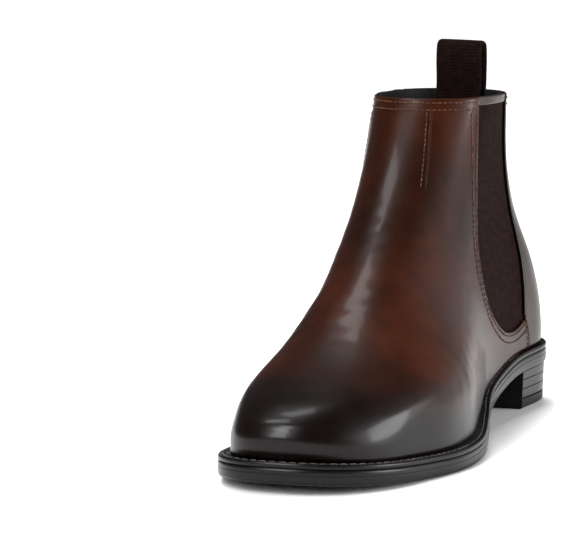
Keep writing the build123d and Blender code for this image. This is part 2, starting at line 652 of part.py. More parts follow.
def loop_line(inset):
    """Side-view line of the webbing's outer face, over the top from leg to leg."""
    top = SHAFT_HEIGHT + LOOP_RISE
    half = (LOOP_OUT_Y + LOOP_T - LOOP_IN_Y) / 2 - inset
    full = LOOP_BULGE / 2 - inset
    return [(HINGE_Y - half, LOOP_FOOT), (HINGE_Y - half - (full - half) * 0.55, LOOP_FOOT + 7),
            (HINGE_Y - full, top - 7.5), (HINGE_Y - full * 0.72, top - 2.2 - inset * 0.7),
            (HINGE_Y, top - inset), (HINGE_Y + full * 0.72, top - 2.2 - inset * 0.7),
            (HINGE_Y + full, top - 7.5), (HINGE_Y + half + (full - half) * 0.55, LOOP_FOOT + 7),
            (HINGE_Y + half, LOOP_FOOT)]


with BuildPart() as pull_loop:
    with BuildSketch(Plane.YZ.offset(LOOP_X)):
        outer, inner = loop_line(0), loop_line(LOOP_T)
        with BuildLine():
            Spline(*outer)
            Line(outer[-1], inner[-1])
            Spline(*reversed(inner))
            Line(inner[0], outer[0])
        make_face()
    extrude(amount=LOOP_W / 2, both=True)
pull_loop.part.label = "pull_loop"

with BuildPart() as pull_loop_tabs:
    with BuildSketch(Plane.YZ.offset(LOOP_X)):
        with Locations((LOOP_IN_Y + LOOP_T / 2, (TAB_TOP + SHAFT_HEIGHT - 30) / 2)):
            Rectangle(LOOP_T, TAB_TOP - SHAFT_HEIGHT + 30)
        with Locations((LOOP_OUT_Y + LOOP_T / 2, (TAB_TOP + SHAFT_HEIGHT - 18) / 2)):
            Rectangle(LOOP_T, TAB_TOP - SHAFT_HEIGHT + 18)
    extrude(amount=LOOP_W / 2, both=True)
    add(quarter_lining.part, mode=Mode.SUBTRACT)
pull_loop_tabs.part.label = "pull_loop_tabs"


# ---------------------------------------------------------------- export
os.makedirs("parts", exist_ok=True)
for piece in (outsole, welt, heel_top_piece, heel_lift_lower, heel_lift_middle,
              heel_lift_upper, insole_board, sock_liner, bottom_filler, shank, vamp, back_quarter,
              zip_strap, gore_lateral, gore_medial, binding_lateral, binding_medial, toe_puff,
              heel_counter, vamp_lining, quarter_lining, zip_guard, zip_tape_front,
              zip_tape_rear, zip_teeth_front, zip_teeth_rear, zip_slider, zip_pull, pull_loop,
              pull_loop_tabs):
    export_step(piece.part, f"parts/{piece.part.label}.step", write_pcurves=False)
print("pull hinge", PIN, "axis", CHAIN_FORE * -1, "slide axis", CHAIN_UP * -1)
print("loop hinge", LOOP_X, HINGE_Y, HINGE_Z, "slider travel", SLIDER_S - SLIDER_L / 2 - 2)
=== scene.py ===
# %% [markdown]
# # A left dress ankle boot, as a lesson in Blender
# The engineering model is loaded first as a fixed frame. It says where everything goes and how
# big it is. Everything soft, such as leather, elastic and webbing, is then remade here with rolled
# edges, seams and stitches, and everything hard keeps its shape and gets a real finish.

# %% Load the frame and keep its size
import bpy, bmesh, json, math
import numpy as np
from mathutils.bvhtree import BVHTree
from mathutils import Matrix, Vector, noise


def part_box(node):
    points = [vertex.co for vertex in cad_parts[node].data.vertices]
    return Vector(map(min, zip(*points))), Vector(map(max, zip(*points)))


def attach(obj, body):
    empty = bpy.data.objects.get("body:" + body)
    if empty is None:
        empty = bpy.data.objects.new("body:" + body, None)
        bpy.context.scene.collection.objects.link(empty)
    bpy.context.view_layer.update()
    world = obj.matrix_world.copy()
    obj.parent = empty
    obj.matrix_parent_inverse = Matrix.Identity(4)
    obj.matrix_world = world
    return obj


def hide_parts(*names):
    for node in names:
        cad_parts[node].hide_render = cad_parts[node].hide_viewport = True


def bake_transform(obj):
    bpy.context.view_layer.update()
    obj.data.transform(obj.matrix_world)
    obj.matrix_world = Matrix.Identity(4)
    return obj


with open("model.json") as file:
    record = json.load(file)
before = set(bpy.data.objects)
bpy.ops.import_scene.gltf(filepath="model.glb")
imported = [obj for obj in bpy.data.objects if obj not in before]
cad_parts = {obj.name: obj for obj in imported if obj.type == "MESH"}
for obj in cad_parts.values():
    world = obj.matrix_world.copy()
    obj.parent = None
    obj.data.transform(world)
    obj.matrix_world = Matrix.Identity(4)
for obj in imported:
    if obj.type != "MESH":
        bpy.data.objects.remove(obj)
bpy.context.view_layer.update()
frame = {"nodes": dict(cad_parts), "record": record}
NODES = frame["nodes"]
MM = 0.001

# %% [markdown]
# ## The last
# A boot is pulled over a last, so one smooth form decides every panel. It could be sculpted, but a
# rule is easier to repeat: heights and half widths are given at a few stations along the boot, and
# smooth curves run between them. The same rule shaped the engineering solids.

# %% Station curves
def station_curve(points):
    """Smooth line through (station, value) pairs that stays level beyond both ends."""
    p = np.array(sorted(points), float)
    x, v = p[:, 0], p[:, 1]
    step, slope = np.diff(x), np.diff(v) / np.diff(x)
    lean = np.r_[slope[0], (slope[:-1] * step[1:] + slope[1:] * step[:-1]) / (x[2:] - x[:-2]), slope[-1]]

    def value(q):
        q = np.clip(np.asarray(q, float), x[0], x[-1])
        i = np.clip(np.searchsorted(x, q, side="right") - 1, 0, len(x) - 2)
        w = x[i + 1] - x[i]
        t = (q - x[i]) / w
        return ((2 * t**3 - 3 * t**2 + 1) * v[i] + (t**3 - 2 * t**2 + t) * w * lean[i]
                + (3 * t**2 - 2 * t**3) * v[i + 1] + (t**3 - t**2) * w * lean[i + 1])
    return value


feather = station_curve([(45, 29.8), (0, 29.5), (-30, 28), (-60, 22.5), (-90, 16), (-120, 11.5),
                         (-150, 10), (-190, 10.2), (-225, 12.2), (-265, 16)])
front_line = station_curve([(0, -249), (15, -249.3), (20, -251.3), (26, -251.5), (32, -247.5),
                            (37, -238), (42, -222), (48, -203), (56, -183), (67.5, -160),
                            (80.5, -138), (95.5, -116), (111.5, -97), (128.5, -80),
                            (145, -66.5), (160, -56), (175, -50)])
back_line = station_curve([(0, 36), (29, 36), (36, 38), (46, 39.5), (58, 39.3), (74, 36), (90, 31),
                           (105, 27), (120, 24.8), (136, 24.5), (158, 25), (175, 26.5)])
swing = station_curve([(45, 5), (0, 2.5), (-60, 0), (-120, -4), (-180, -8.5), (-252, -14)])
lean = station_curve([(0, 0), (30, 0), (65, -3.4), (100, -6.9), (130, -9), (160, -10.3), (175, -10.8)])
half_outer = station_curve([(45, 33), (5, 33), (-30, 32), (-75, 35), (-110, 43.5), (-150, 52),
                            (-175, 51.5), (-205, 44), (-235, 35.5), (-260, 30)])
half_inner = station_curve([(45, 33), (5, 33), (-30, 31.5), (-75, 29), (-110, 31), (-150, 36),
                            (-180, 38), (-205, 36), (-235, 31.5), (-260, 28)])
half_shaft = station_curve([(0, 31), (0.15, 32.5), (0.3, 32), (0.5, 30), (0.7, 28.8), (0.9, 29.3),
                            (1.1, 31)])
toe_round = station_curve([(0, 38), (0.06, 42), (0.12, 52), (0.2, 62), (0.35, 64), (0.5, 56),
                           (0.7, 46), (1, 40)])
toe_square = station_curve([(0, 2.9), (0.06, 2.7), (0.12, 2.4), (0.2, 2.2), (0.4, 2.05)])
heel_round = station_curve([(0, 36), (0.3, 38), (0.6, 40)])
heel_square = station_curve([(0, 2.2), (0.4, 2.1)])


def top_edge(y):
    return 156 + 2 * (25 - np.asarray(y, float)) / 81


def corner(t, n):
    return (1 - (1 - np.clip(t, 0, 1)) ** n) ** (1 / n)


full_heel = station_curve([(50, 3.0), (-10, 3.0), (-40, 1.8), (-75, 0), (-300, 0)])
full_ball = station_curve([(50, 0), (-95, 0), (-130, 1.4), (-175, 3.0), (-215, 2.4), (-250, 0), (-300, 0)])


def wall_x(y, z, side):
    """Sideways place of the outer surface, side +1 outer or -1 inner, in millimetres."""
    h = np.clip((z - feather(y)) / (top_edge(y) - feather(y)), 0, 1.15)
    t = np.clip((h - 0.12) / 0.43, 0, 1)
    blend = t * t * (3 - 2 * t)
    foot = half_outer(y) if side > 0 else half_inner(y)
    half = foot * (1 - blend) + half_shaft(h) * blend
    half = half * corner((y - front_line(z)) / toe_round(h), toe_square(h))
    half = half * corner((back_line(z) - y) / heel_round(h), heel_square(h))
    if side > 0:
        low = 1 - np.clip((z - feather(y)) / 70, 0, 1) ** 2
        heel = full_heel(y) * (0.45 + 0.55 * low)
        half = half + corner((back_line(z) - y) / 25.0, 2.0) * heel + full_ball(y) * low
    return side * half + swing(y) + lean(z)


# %% [markdown]
# ## One grid for the whole upper
# Rows run round the boot from the toe to the back seam and home again. They start on the feather
# line, where the upper meets the welt, and end on the top edge, so every row is a true line of the
# boot. Rows are spaced evenly along the front ridge, which keeps the faces small over the toe.

# %% Build the grid
ROWS, HALF = ((132, 150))


def row_end(h, line, start):
    y = np.full_like(h, start)
    for _ in range(60):
        y = 0.5 * y + 0.5 * line(feather(y) + h * (top_edge(y) - feather(y)))
    return y


fine = np.linspace(0, 1, 1500)
fy = row_end(fine, front_line, -200.0)
fz = feather(fy) + fine * (top_edge(fy) - feather(fy))
ridge = np.r_[0, np.cumsum(np.hypot(np.diff(fy), np.diff(fz)))]
H = np.interp(np.linspace(0, ridge[-1], ROWS), ridge, fine)
Y0, Y1 = row_end(H, front_line, -200.0), row_end(H, back_line, 30.0)
grid = np.zeros((ROWS, 2 * HALF, 3))
for r, h in enumerate(H):
    for side in (1, -1):
        y = Y0[r] + (Y1[r] - Y0[r]) * (1 - np.cos(np.linspace(0, np.pi, 900))) / 2
        z = feather(y) + h * (top_edge(y) - feather(y))
        x = wall_x(y, z, side)
        run = np.r_[0, np.cumsum(np.sqrt(np.diff(x)**2 + np.diff(y)**2 + np.diff(z)**2))]
        want = np.linspace(0, run[-1], HALF + 1)
        pts = np.stack([np.interp(want, run, a) for a in (x, y, z)], 1)
        if side > 0:
            grid[r, :HALF + 1] = pts
        else:
            grid[r, HALF + 1:] = pts[1:-1][::-1]


def grid_normals(g):
    du = np.roll(g, -1, 1) - np.roll(g, 1, 1)
    dv = np.gradient(g, axis=0)
    n = np.cross(du, dv)
    n /= np.linalg.norm(n, axis=2)[..., None] + 1e-9
    if n[ROWS // 2, HALF // 2, 0] < 0:
        n = -n
    return n


NORMAL = grid_normals(grid)
SIDE = np.where(np.arange(2 * HALF) <= HALF, 1.0, -1.0)[None, :].repeat(ROWS, 0)
print("grid", grid.shape, "rows of points from the feather line to the top edge")

# %% [markdown]
# ## Creases
# Worn or not, leather over a last is never glass-smooth. A few shallow waves lie across the instep
# and the ball where it bends. They are real displacement, so highlights break over them.

# %% Shallow waves in the leather
def waves(p):
    """Small outward displacement in millimetres at grid points."""
    x, y, z = p[..., 0], p[..., 1], p[..., 2]
    out = np.zeros(x.shape)
    instep = np.exp(-((z - 88) / 26) ** 2) * np.exp(-((y + 105) / 45) ** 2)
    flex = np.exp(-((y + 150) / 26) ** 2) * np.clip((z - 22) / 18, 0, 1)
    flat = p.reshape(-1, 3)
    wob = np.array([noise.noise(Vector((a * 0.018, b * 0.03, c * 0.05))) for a, b, c in flat]).reshape(x.shape)
    big = np.array([noise.noise(Vector((a * 0.02 + 7, b * 0.02, c * 0.02))) for a, b, c in flat]).reshape(x.shape)
    out += instep * (0.07 * np.sin((z + 0.25 * y) * 0.62 + 5 * wob) + 0.3 * wob)
    out += flex * (0.08 * np.sin(y * 0.5 + 4 * wob) + 0.3 * wob)
    return out + 0.35 * big


OUTER = grid + NORMAL * waves(grid)[..., None]
NORMAL_O = grid_normals(OUTER)

# %% [markdown]
# ## Cutting panels out of the grid
# A pattern cutter lays a knife line on the last. Here each panel has a number at every grid point:
# the distance in millimetres inside its own edge. Faces are split where that number crosses zero,
# and again a little way in, so the edge has rows of points to roll over like folded leather.

# %% Seam lines in the side view
def smooth_line(points, n=14):
    p = np.array(points, float)
    q = np.vstack([2 * p[0] - p[1], p, 2 * p[-1] - p[-2]])
    out = []
    for i in range(len(p) - 1):
        t = np.linspace(0, 1, n, endpoint=False)[:, None]
        a, b, c, d = q[i:i + 4]
        bend = (2 * a - 5 * b + 4 * c - d) * t**2 + (3 * b - a - 3 * c + d) * t**3
        out.append(0.5 * (2 * b + (c - a) * t + bend))
    return np.vstack(out + [p[-1:]])


GORE_FRONT = [(-34, 178), (-37, 158), (-42.5, 141), (-50, 120), (-57, 100), (-61.5, 85),
              (-63.5, 71), (-60, 58), (-51, 48.5), (-40, 42.5), (-29, 40.8)]
VAMP_OUT = smooth_line(GORE_FRONT + [(-20, 41.8), (-11, 44.5)])
SEAM_OUT = smooth_line([(-11, 44.5), (-8.8, 38), (-8.4, 32), (-9, 20)])
VAMP_IN = smooth_line(GORE_FRONT[:-1] + [(-33, 41.2), (-26, 43.5)])
SEAM_IN = smooth_line([(-26, 43.5), (-24.5, 36), (-24.8, 31), (-25, 20)])
REAR_OUT = smooth_line([(1.5, 178), (-0.8, 158), (-2, 140), (-3.2, 120), (-4.2, 100), (-5.2, 80),
                        (-7, 62), (-9.8, 48.5), (-11, 44.5)])


def zip_y(z):
    return -15 + 5.5 * (np.asarray(z, float) - 49) / 102


def line_distance(y, z, line):
    """Signed distance to a side-view line; negative on the toe side of a line that runs down."""
    a, b = line[:-1], line[1:]
    d = b - a
    best, sign = np.full(y.shape, 1e9), np.ones(y.shape)
    for (ay, az), (dy, dz) in zip(a, d):
        t = np.clip(((y - ay) * dy + (z - az) * dz) / (dy * dy + dz * dz), 0, 1)
        ey, ez = y - ay - t * dy, z - az - t * dz
        e = np.hypot(ey, ez)
        s = np.sign(dy * (z - az) - dz * (y - ay))
        hit = e < best - 1e-6
        best, sign = np.where(hit, e, best), np.where(hit, s, sign)
    return best * sign


def below_top(y, z, drop=0.0):
    return top_edge(y) - drop - z


# %% Split a mesh where a field crosses a value
class Sheet:
    """Points, outward directions, side marks and faces of a piece being cut."""
    def __init__(self, pts, nrm, side, faces):
        self.p, self.n, self.s, self.f = list(map(tuple, pts)), list(map(tuple, nrm)), list(side), faces

    def arrays(self):
        return np.array(self.p), np.array(self.n), np.array(self.s)

    def split(self, field, level, keep_inside=False):
        """Cuts faces where the field crosses a level; may keep only the part above it."""
        v = field(*self.arrays()) - level
        v = np.where(np.abs(v) < 1e-4, 1e-4, v).tolist()
        cuts, faces = {}, []
        for f in self.f:
            plus = [v[i] > 0 for i in f]
            if all(plus):
                faces.append(f); continue
            if not any(plus):
                if not keep_inside:
                    faces.append(f)
                continue
            inside, outside = [], []
            for k, i in enumerate(f):
                j = f[(k + 1) % len(f)]
                (inside if v[i] > 0 else outside).append(i)
                if (v[i] > 0) != (v[j] > 0):
                    key = (min(i, j), max(i, j))
                    if key not in cuts:
                        t = v[i] / (v[i] - v[j])
                        cuts[key] = len(self.p)
                        self.p.append(tuple(a + (b - a) * t for a, b in zip(self.p[i], self.p[j])))
                        self.n.append(tuple(a + (b - a) * t for a, b in zip(self.n[i], self.n[j])))
                        self.s.append(self.s[i] if v[i] > 0 else self.s[j])
                        v.append(0.0)
                    inside.append(cuts[key]); outside.append(cuts[key])
            if len(inside) > 2:
                faces.append(inside)
            if len(outside) > 2 and not keep_inside:
                faces.append(outside)
        self.f = faces


def whole_grid(source=None, nrm=None, rows=(0, None), depth=0.0):
    """A fresh sheet over all of the grid, or over some of its rows, at a depth below the surface."""
    g = (OUTER if source is None else source)[rows[0]:rows[1]]
    n = (NORMAL_O if nrm is None else nrm)[rows[0]:rows[1]]
    s = SIDE[rows[0]:rows[1]]
    r, c = g.shape[:2]
    faces = [[i * c + j, i * c + (j + 1) % c, (i + 1) * c + (j + 1) % c, (i + 1) * c + j]
             for i in range(r - 1) for j in range(c)]
    return Sheet((g - n * depth).reshape(-1, 3), n.reshape(-1, 3), s.reshape(-1), faces)


# %% Turn a sheet into a closed piece with rolled edges
def make_piece(name, sheet, field, thick, roll=0.9, sink=0.55, material=None, body="boot", smooth=True):
    """Adds a piece: edge rows roll inwards over `roll` mm, then the sheet gets its thickness."""
    p, n, s = sheet.arrays()
    if field is not None and roll > 0:
        e = np.clip(field(p, n, s) / roll, 0, 1)
        p = p - n * (sink * (1 - np.sqrt(1 - (1 - e) ** 2)))[:, None]
    used = sorted({i for f in sheet.f for i in f})
    index = {old: new for new, old in enumerate(used)}
    mesh = bpy.data.meshes.new(name)
    mesh.from_pydata([tuple(p[i] * MM) for i in used], [], [[index[i] for i in f] for f in sheet.f])
    bm = bmesh.new(); bm.from_mesh(mesh)
    bmesh.ops.remove_doubles(bm, verts=bm.verts, dist=2e-6)
    bmesh.ops.dissolve_degenerate(bm, edges=bm.edges, dist=2e-6)
    lone = [v for v in bm.verts if not v.link_faces]
    bmesh.ops.delete(bm, geom=lone, context="VERTS")
    bm.normal_update()
    votes = 0
    for f in list(bm.faces)[::37]:
        c = f.calc_center_median() / MM
        k = int(np.argmin(((p[used] - np.array(c)) ** 2).sum(1)))
        votes += 1 if f.normal.dot(Vector(n[used[k]])) > 0 else -1
    if votes < 0:
        bmesh.ops.reverse_faces(bm, faces=bm.faces)
    bm.to_mesh(mesh); bm.free()
    for poly in mesh.polygons:
        poly.use_smooth = smooth
    obj = bpy.data.objects.new(name, mesh)
    bpy.context.collection.objects.link(obj)
    if thick:
        m = obj.modifiers.new("ply", "SOLIDIFY")
        m.thickness, m.offset, m.use_even_offset = thick * MM, -1.0, False
        m.use_rim = True
    if material:
        mesh.materials.append(material)
    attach(obj, body)
    print(name, "faces", len(mesh.polygons))
    return obj


# %% [markdown]
# ## Finishes
# Burnished calf is dark dye rubbed thin: nearly black in the hollows, at the toe and along every
# edge, and red-brown where it is rubbed. Under a thin hard polish lies a very fine grain. The grain
# and the rubbed pattern are shader groups, so every leather in the boot can share them.

# %% Small helpers for node trees
def new_group(name, inputs, outputs):
    tree = bpy.data.node_groups.new(name, "ShaderNodeTree")
    for label, kind, value in inputs:
        sock = tree.interface.new_socket(label, in_out="INPUT", socket_type=kind)
        if value is not None:
            sock.default_value = value
    for label, kind in outputs:
        tree.interface.new_socket(label, in_out="OUTPUT", socket_type=kind)
    gi, go = tree.nodes.new("NodeGroupInput"), tree.nodes.new("NodeGroupOutput")
    gi.location, go.location = (-900, 0), (600, 0)
    return tree, gi, go


def node(tree, kind, x=0, y=0, **values):
    n = tree.nodes.new(kind)
    n.location = (x, y)
    for k, v in values.items():
        if k.startswith("in_"):
            n.inputs[k[3:].replace("_", " ")].default_value = v
        else:
            setattr(n, k, v)
    return n


def link(tree, a, b):
    tree.links.new(a, b)


def math_node(tree, op, a, b=None, x=0, y=0, clamp=False):
    n = node(tree, "ShaderNodeMath", x, y, operation=op, use_clamp=clamp)
    for i, v in enumerate((a, b)):
        if v is None:
            continue
        if isinstance(v, (int, float)):
            n.inputs[i].default_value = v
        else:
            link(tree, v, n.inputs[i])
    return n.outputs[0]


def map_range(tree, value, low, high, to_low=0.0, to_high=1.0, x=0, y=0, smooth=True):
    n = node(tree, "ShaderNodeMapRange", x, y,
             interpolation_type="SMOOTHSTEP" if smooth else "LINEAR")
    for label, v in (("From Min", low), ("From Max", high), ("To Min", to_low), ("To Max", to_high)):
        n.inputs[label].default_value = v
    link(tree, value, n.inputs["Value"])
    return n.outputs[0]


def ramp(tree, fac, stops, x=0, y=0):
    n = node(tree, "ShaderNodeValToRGB", x, y)
    n.color_ramp.interpolation = "EASE"
    while len(n.color_ramp.elements) < len(stops):
        n.color_ramp.elements.new(0.5)
    for e, (pos, col) in zip(n.color_ramp.elements, stops):
        e.position, e.color = pos, (*col, 1)
    link(tree, fac, n.inputs["Fac"])
    return n.outputs["Color"]


# %% Grain group: pores and hair lines as a height
def grain_group():
    t, gi, go = new_group(
        "leather grain",
        [("Vector", "NodeSocketVector", None), ("Pore size", "NodeSocketFloat", 1400.0),
         ("Softness", "NodeSocketFloat", 0.6)],
        [("Height", "NodeSocketFloat"), ("Mottle", "NodeSocketFloat")])
    v = node(t, "ShaderNodeTexVoronoi", -600, 200, feature="DISTANCE_TO_EDGE")
    link(t, gi.outputs["Vector"], v.inputs["Vector"]); link(t, gi.outputs["Pore size"], v.inputs["Scale"])
    f = node(t, "ShaderNodeTexNoise", -600, -100, in_Scale=420.0, in_Detail=3.0)
    link(t, gi.outputs["Vector"], f.inputs["Vector"])
    pores = math_node(t, "MULTIPLY", v.outputs["Distance"], 1.6, -350, 200)
    soft = math_node(t, "MULTIPLY", f.outputs["Fac"], gi.outputs["Softness"], -350, -100)
    link(t, math_node(t, "ADD", pores, soft, -100, 50), go.inputs["Height"])
    m = node(t, "ShaderNodeTexNoise", -600, -350, in_Scale=70.0, in_Detail=5.0)
    link(t, gi.outputs["Vector"], m.inputs["Vector"])
    link(t, m.outputs["Fac"], go.inputs["Mottle"])
    return t


GRAIN = grain_group()


# %% Burnish group: where the dye has been rubbed thin
def burnish_group():
    """Rubbed is 1 on the open sides of the vamp and shaft and 0 at the toe, low down by the welt and at the heel."""
    t, gi, go = new_group(
        "hand burnish",
        [("Vector", "NodeSocketVector", None), ("Cloud scale", "NodeSocketFloat", 22.0)],
        [("Rubbed", "NodeSocketFloat"), ("Cloud", "NodeSocketFloat")])
    s = node(t, "ShaderNodeSeparateXYZ", -700, 0)
    link(t, gi.outputs["Vector"], s.inputs[0])
    toe = map_range(t, s.outputs["Y"], -0.235, -0.165, x=-450, y=200)
    low = map_range(t, s.outputs["Z"], 0.016, 0.046, x=-450, y=-50)
    heel = map_range(t, s.outputs["Y"], 0.035, -0.02, x=-450, y=-300)
    c = node(t, "ShaderNodeTexNoise", -450, -520, in_Detail=3.5, in_Roughness=0.55)
    link(t, gi.outputs["Vector"], c.inputs["Vector"]); link(t, gi.outputs["Cloud scale"], c.inputs["Scale"])
    a = math_node(t, "MULTIPLY", toe, low, -200, 100)
    b = math_node(t, "MULTIPLY", a, heel, -50, 50)
    cloud = map_range(t, c.outputs["Fac"], 0.3, 0.7, 0.25, 1.15, -200, -500, smooth=False)
    link(t, math_node(t, "MULTIPLY", b, cloud, 200, 0, clamp=True), go.inputs["Rubbed"])
    link(t, c.outputs["Fac"], go.inputs["Cloud"])
    return t


BURNISH = burnish_group()


# %% Weave group: ribs of elastic, tape and webbing
def weave_group():
    t, gi, go = new_group(
        "ribbed weave",
        [("Vector", "NodeSocketVector", None), ("Ribs per metre", "NodeSocketFloat", 1100.0),
         ("Picks per metre", "NodeSocketFloat", 1500.0)],
        [("Height", "NodeSocketFloat"), ("Tone", "NodeSocketFloat")])
    s = node(t, "ShaderNodeSeparateXYZ", -700, 0)
    link(t, gi.outputs["Vector"], s.inputs[0])

    def waves_along(axis, count, y):
        turns = math_node(t, "MULTIPLY", s.outputs[axis], gi.outputs[count], -520, y)
        angle = math_node(t, "MULTIPLY", turns, 6.28318, -380, y)
        return math_node(t, "SINE", angle, None, -240, y)

    rib, pick = waves_along("X", "Ribs per metre", 150), waves_along("Y", "Picks per metre", -150)
    both = math_node(t, "ADD", rib, math_node(t, "MULTIPLY", pick, 0.6, -100, -150), 50, 50)
    link(t, math_node(t, "MULTIPLY", both, 0.5, 200, 50), go.inputs["Height"])
    n = node(t, "ShaderNodeTexNoise", -520, -400, in_Scale=260.0, in_Detail=4.0)
    link(t, gi.outputs["Vector"], n.inputs["Vector"])
    faint = math_node(t, "MULTIPLY", both, 0.16, 200, -150)
    link(t, math_node(t, "ADD", faint, n.outputs["Fac"], 350, -200), go.inputs["Tone"])
    return t


WEAVE = weave_group()


# %% Material makers
def blank(name):
    m = bpy.data.materials.new(name)
    m.use_nodes = True
    t = m.node_tree
    t.nodes.clear()
    out = node(t, "ShaderNodeOutputMaterial", 900, 0)
    b = node(t, "ShaderNodeBsdfPrincipled", 600, 0)
    link(t, b.outputs[0], out.inputs[0])
    tc = node(t, "ShaderNodeTexCoord", -1200, 0)
    return m, t, b, tc


def add_bump(t, b, height, strength, distance):
    bp = node(t, "ShaderNodeBump", 300, -300)
    bp.inputs["Strength"].default_value, bp.inputs["Distance"].default_value = strength, distance
    link(t, height, bp.inputs["Height"])
    link(t, bp.outputs[0], b.inputs["Normal"])


def leather(name, dark, rubbed, rough=0.3, coat=0.6, coat_rough=0.12, pores=1500.0, bump=0.09,
            even=None, dist=0.00025):
    """Polished leather from a dark dye colour to a rubbed colour."""
    m, t, b, tc = blank(name)
    g = node(t, "ShaderNodeGroup", -900, -200); g.node_tree = GRAIN
    g.inputs["Pore size"].default_value = pores
    u = node(t, "ShaderNodeGroup", -900, 200); u.node_tree = BURNISH
    for k in (g, u):
        link(t, tc.outputs["Object"], k.inputs["Vector"])
    fac = u.outputs["Rubbed"] if even is None else math_node(t, "MULTIPLY", u.outputs["Cloud"], even, -600, 200)
    mid = tuple(d + (r - d) * 0.42 for d, r in zip(dark, rubbed))
    col = ramp(t, fac, [(0.0, dark), (0.45, mid), (1.0, rubbed)], -400, 200)
    mix = node(t, "ShaderNodeMix", 100, 150, data_type="RGBA", blend_type="MULTIPLY")
    mix.inputs["Factor"].default_value = 0.5
    link(t, col, mix.inputs["A"])
    shade = ramp(t, g.outputs["Mottle"], [(0.3, (0.62, 0.58, 0.56)), (0.7, (1.0, 1.0, 1.0))], -400, -100)
    link(t, shade, mix.inputs["B"])
    link(t, mix.outputs["Result"], b.inputs["Base Color"])
    r = map_range(t, g.outputs["Mottle"], 0.0, 1.0, rough - 0.05, rough + 0.1, 100, -150, smooth=False)
    link(t, r, b.inputs["Roughness"])
    add_bump(t, b, g.outputs["Height"], bump, dist)
    b.inputs["Coat Weight"].default_value = coat
    b.inputs["Coat Roughness"].default_value = coat_rough
    b.inputs["Specular IOR Level"].default_value = 0.14
    return m


def cloth(name, dark, light, ribs, picks, rough=0.9, bump=0.5, dist=0.0003, uv=True):
    """Woven narrow fabric; the ribs follow the piece's own UV map."""
    m, t, b, tc = blank(name)
    g = node(t, "ShaderNodeGroup", -800, 0); g.node_tree = WEAVE
    g.inputs["Ribs per metre"].default_value, g.inputs["Picks per metre"].default_value = ribs, picks
    link(t, tc.outputs["UV" if uv else "Object"], g.inputs["Vector"])
    link(t, ramp(t, g.outputs["Tone"], [(0.25, dark), (0.8, light)], -400, 150), b.inputs["Base Color"])
    add_bump(t, b, g.outputs["Height"], bump, dist)
    b.inputs["Roughness"].default_value = rough
    b.inputs["Specular IOR Level"].default_value = 0.05
    return m


def hard(name, dark, light, metallic=0.0, rough=0.35, bump=0.05, scale=220.0, coat=0.0,
         stretch=(1, 1, 1)):
    """Rubber, finished edge leather or metal with a little mottling and wear."""
    m, t, b, tc = blank(name)
    mp = node(t, "ShaderNodeMapping", -1000, 0)
    mp.inputs["Scale"].default_value = stretch
    link(t, tc.outputs["Object"], mp.inputs["Vector"])
    n = node(t, "ShaderNodeTexNoise", -800, 0, in_Scale=scale, in_Detail=5.0, in_Roughness=0.6)
    link(t, mp.outputs[0], n.inputs["Vector"])
    link(t, ramp(t, n.outputs["Fac"], [(0.3, dark), (0.75, light)], -400, 150), b.inputs["Base Color"])
    r = map_range(t, n.outputs["Fac"], 0.0, 1.0, max(rough - 0.1, 0.03), rough + 0.12, -100, -150,
                  smooth=False)
    link(t, r, b.inputs["Roughness"])
    add_bump(t, b, n.outputs["Fac"], bump, 0.0004)
    b.inputs["Metallic"].default_value = metallic
    b.inputs["Coat Weight"].default_value = coat
    b.inputs["Coat Roughness"].default_value = 0.15
    b.inputs["Specular IOR Level"].default_value = 0.15
    return m


# %% The boot's finishes
UPPER = leather("burnished calf", (0.003, 0.0012, 0.0009), (0.032, 0.007, 0.0024), rough=0.3,
                coat=0.1, coat_rough=0.1)
BINDING = leather("gore binding", (0.02, 0.011, 0.009), (0.045, 0.028, 0.022), rough=0.4, coat=0.3,
                  even=1.0)
LINING = leather("black lining", (0.004, 0.004, 0.004), (0.012, 0.011, 0.011), rough=0.6, coat=0.0,
                 even=1.0, pores=900.0, bump=0.25)
PIPING = leather("black piping", (0.003, 0.003, 0.003), (0.007, 0.006, 0.006), rough=0.4, coat=0.2,
                 even=1.0)
ELASTIC = cloth("gore elastic", (0.005, 0.0019, 0.0018), (0.017, 0.0068, 0.0062), 900.0, 1300.0)
WEBBING = cloth("loop webbing", (0.004, 0.0017, 0.0015), (0.015, 0.0064, 0.005), 2400.0, 620.0,
                bump=0.7, dist=0.0004)
TAPE = cloth("zip tape", (0.0025, 0.0025, 0.003), (0.01, 0.01, 0.011), 1200.0, 1600.0, uv=False)
THREAD = cloth("waxed thread", (0.05, 0.024, 0.014), (0.15, 0.075, 0.048), 900.0, 4000.0,
               rough=0.55, uv=False)
WELT_THREAD = cloth("welt thread", (0.05, 0.043, 0.038), (0.16, 0.14, 0.13), 900.0, 4000.0,
                    rough=0.55, uv=False)
SOLE_EDGE = hard("waxed sole edge", (0.0015, 0.0015, 0.0016), (0.005, 0.005, 0.0052), rough=0.3,
                 coat=0.05, stretch=(1, 1, 14), bump=0.12)
HEEL_EDGE = hard("waxed heel edge", (0.002, 0.002, 0.0022), (0.008, 0.0078, 0.0078), rough=0.32,
                 coat=0.08, stretch=(1, 1, 20), bump=0.16)
RUBBER = hard("heel rubber", (0.006, 0.006, 0.006), (0.014, 0.014, 0.014), rough=0.55, bump=0.2,
              scale=600.0)
GUNMETAL = hard("gunmetal", (0.1, 0.1, 0.105), (0.3, 0.3, 0.31), metallic=1.0, rough=0.25,
                bump=0.02, scale=900.0)
TOOTH = hard("zip teeth", (0.03, 0.03, 0.032), (0.12, 0.12, 0.125), metallic=1.0, rough=0.35,
             bump=0.02, scale=900.0)
STIFF = hard("stiffener", (0.3, 0.26, 0.2), (0.5, 0.45, 0.36), rough=0.8)
BOARD = hard("insole board", (0.25, 0.18, 0.11), (0.4, 0.3, 0.2), rough=0.85)
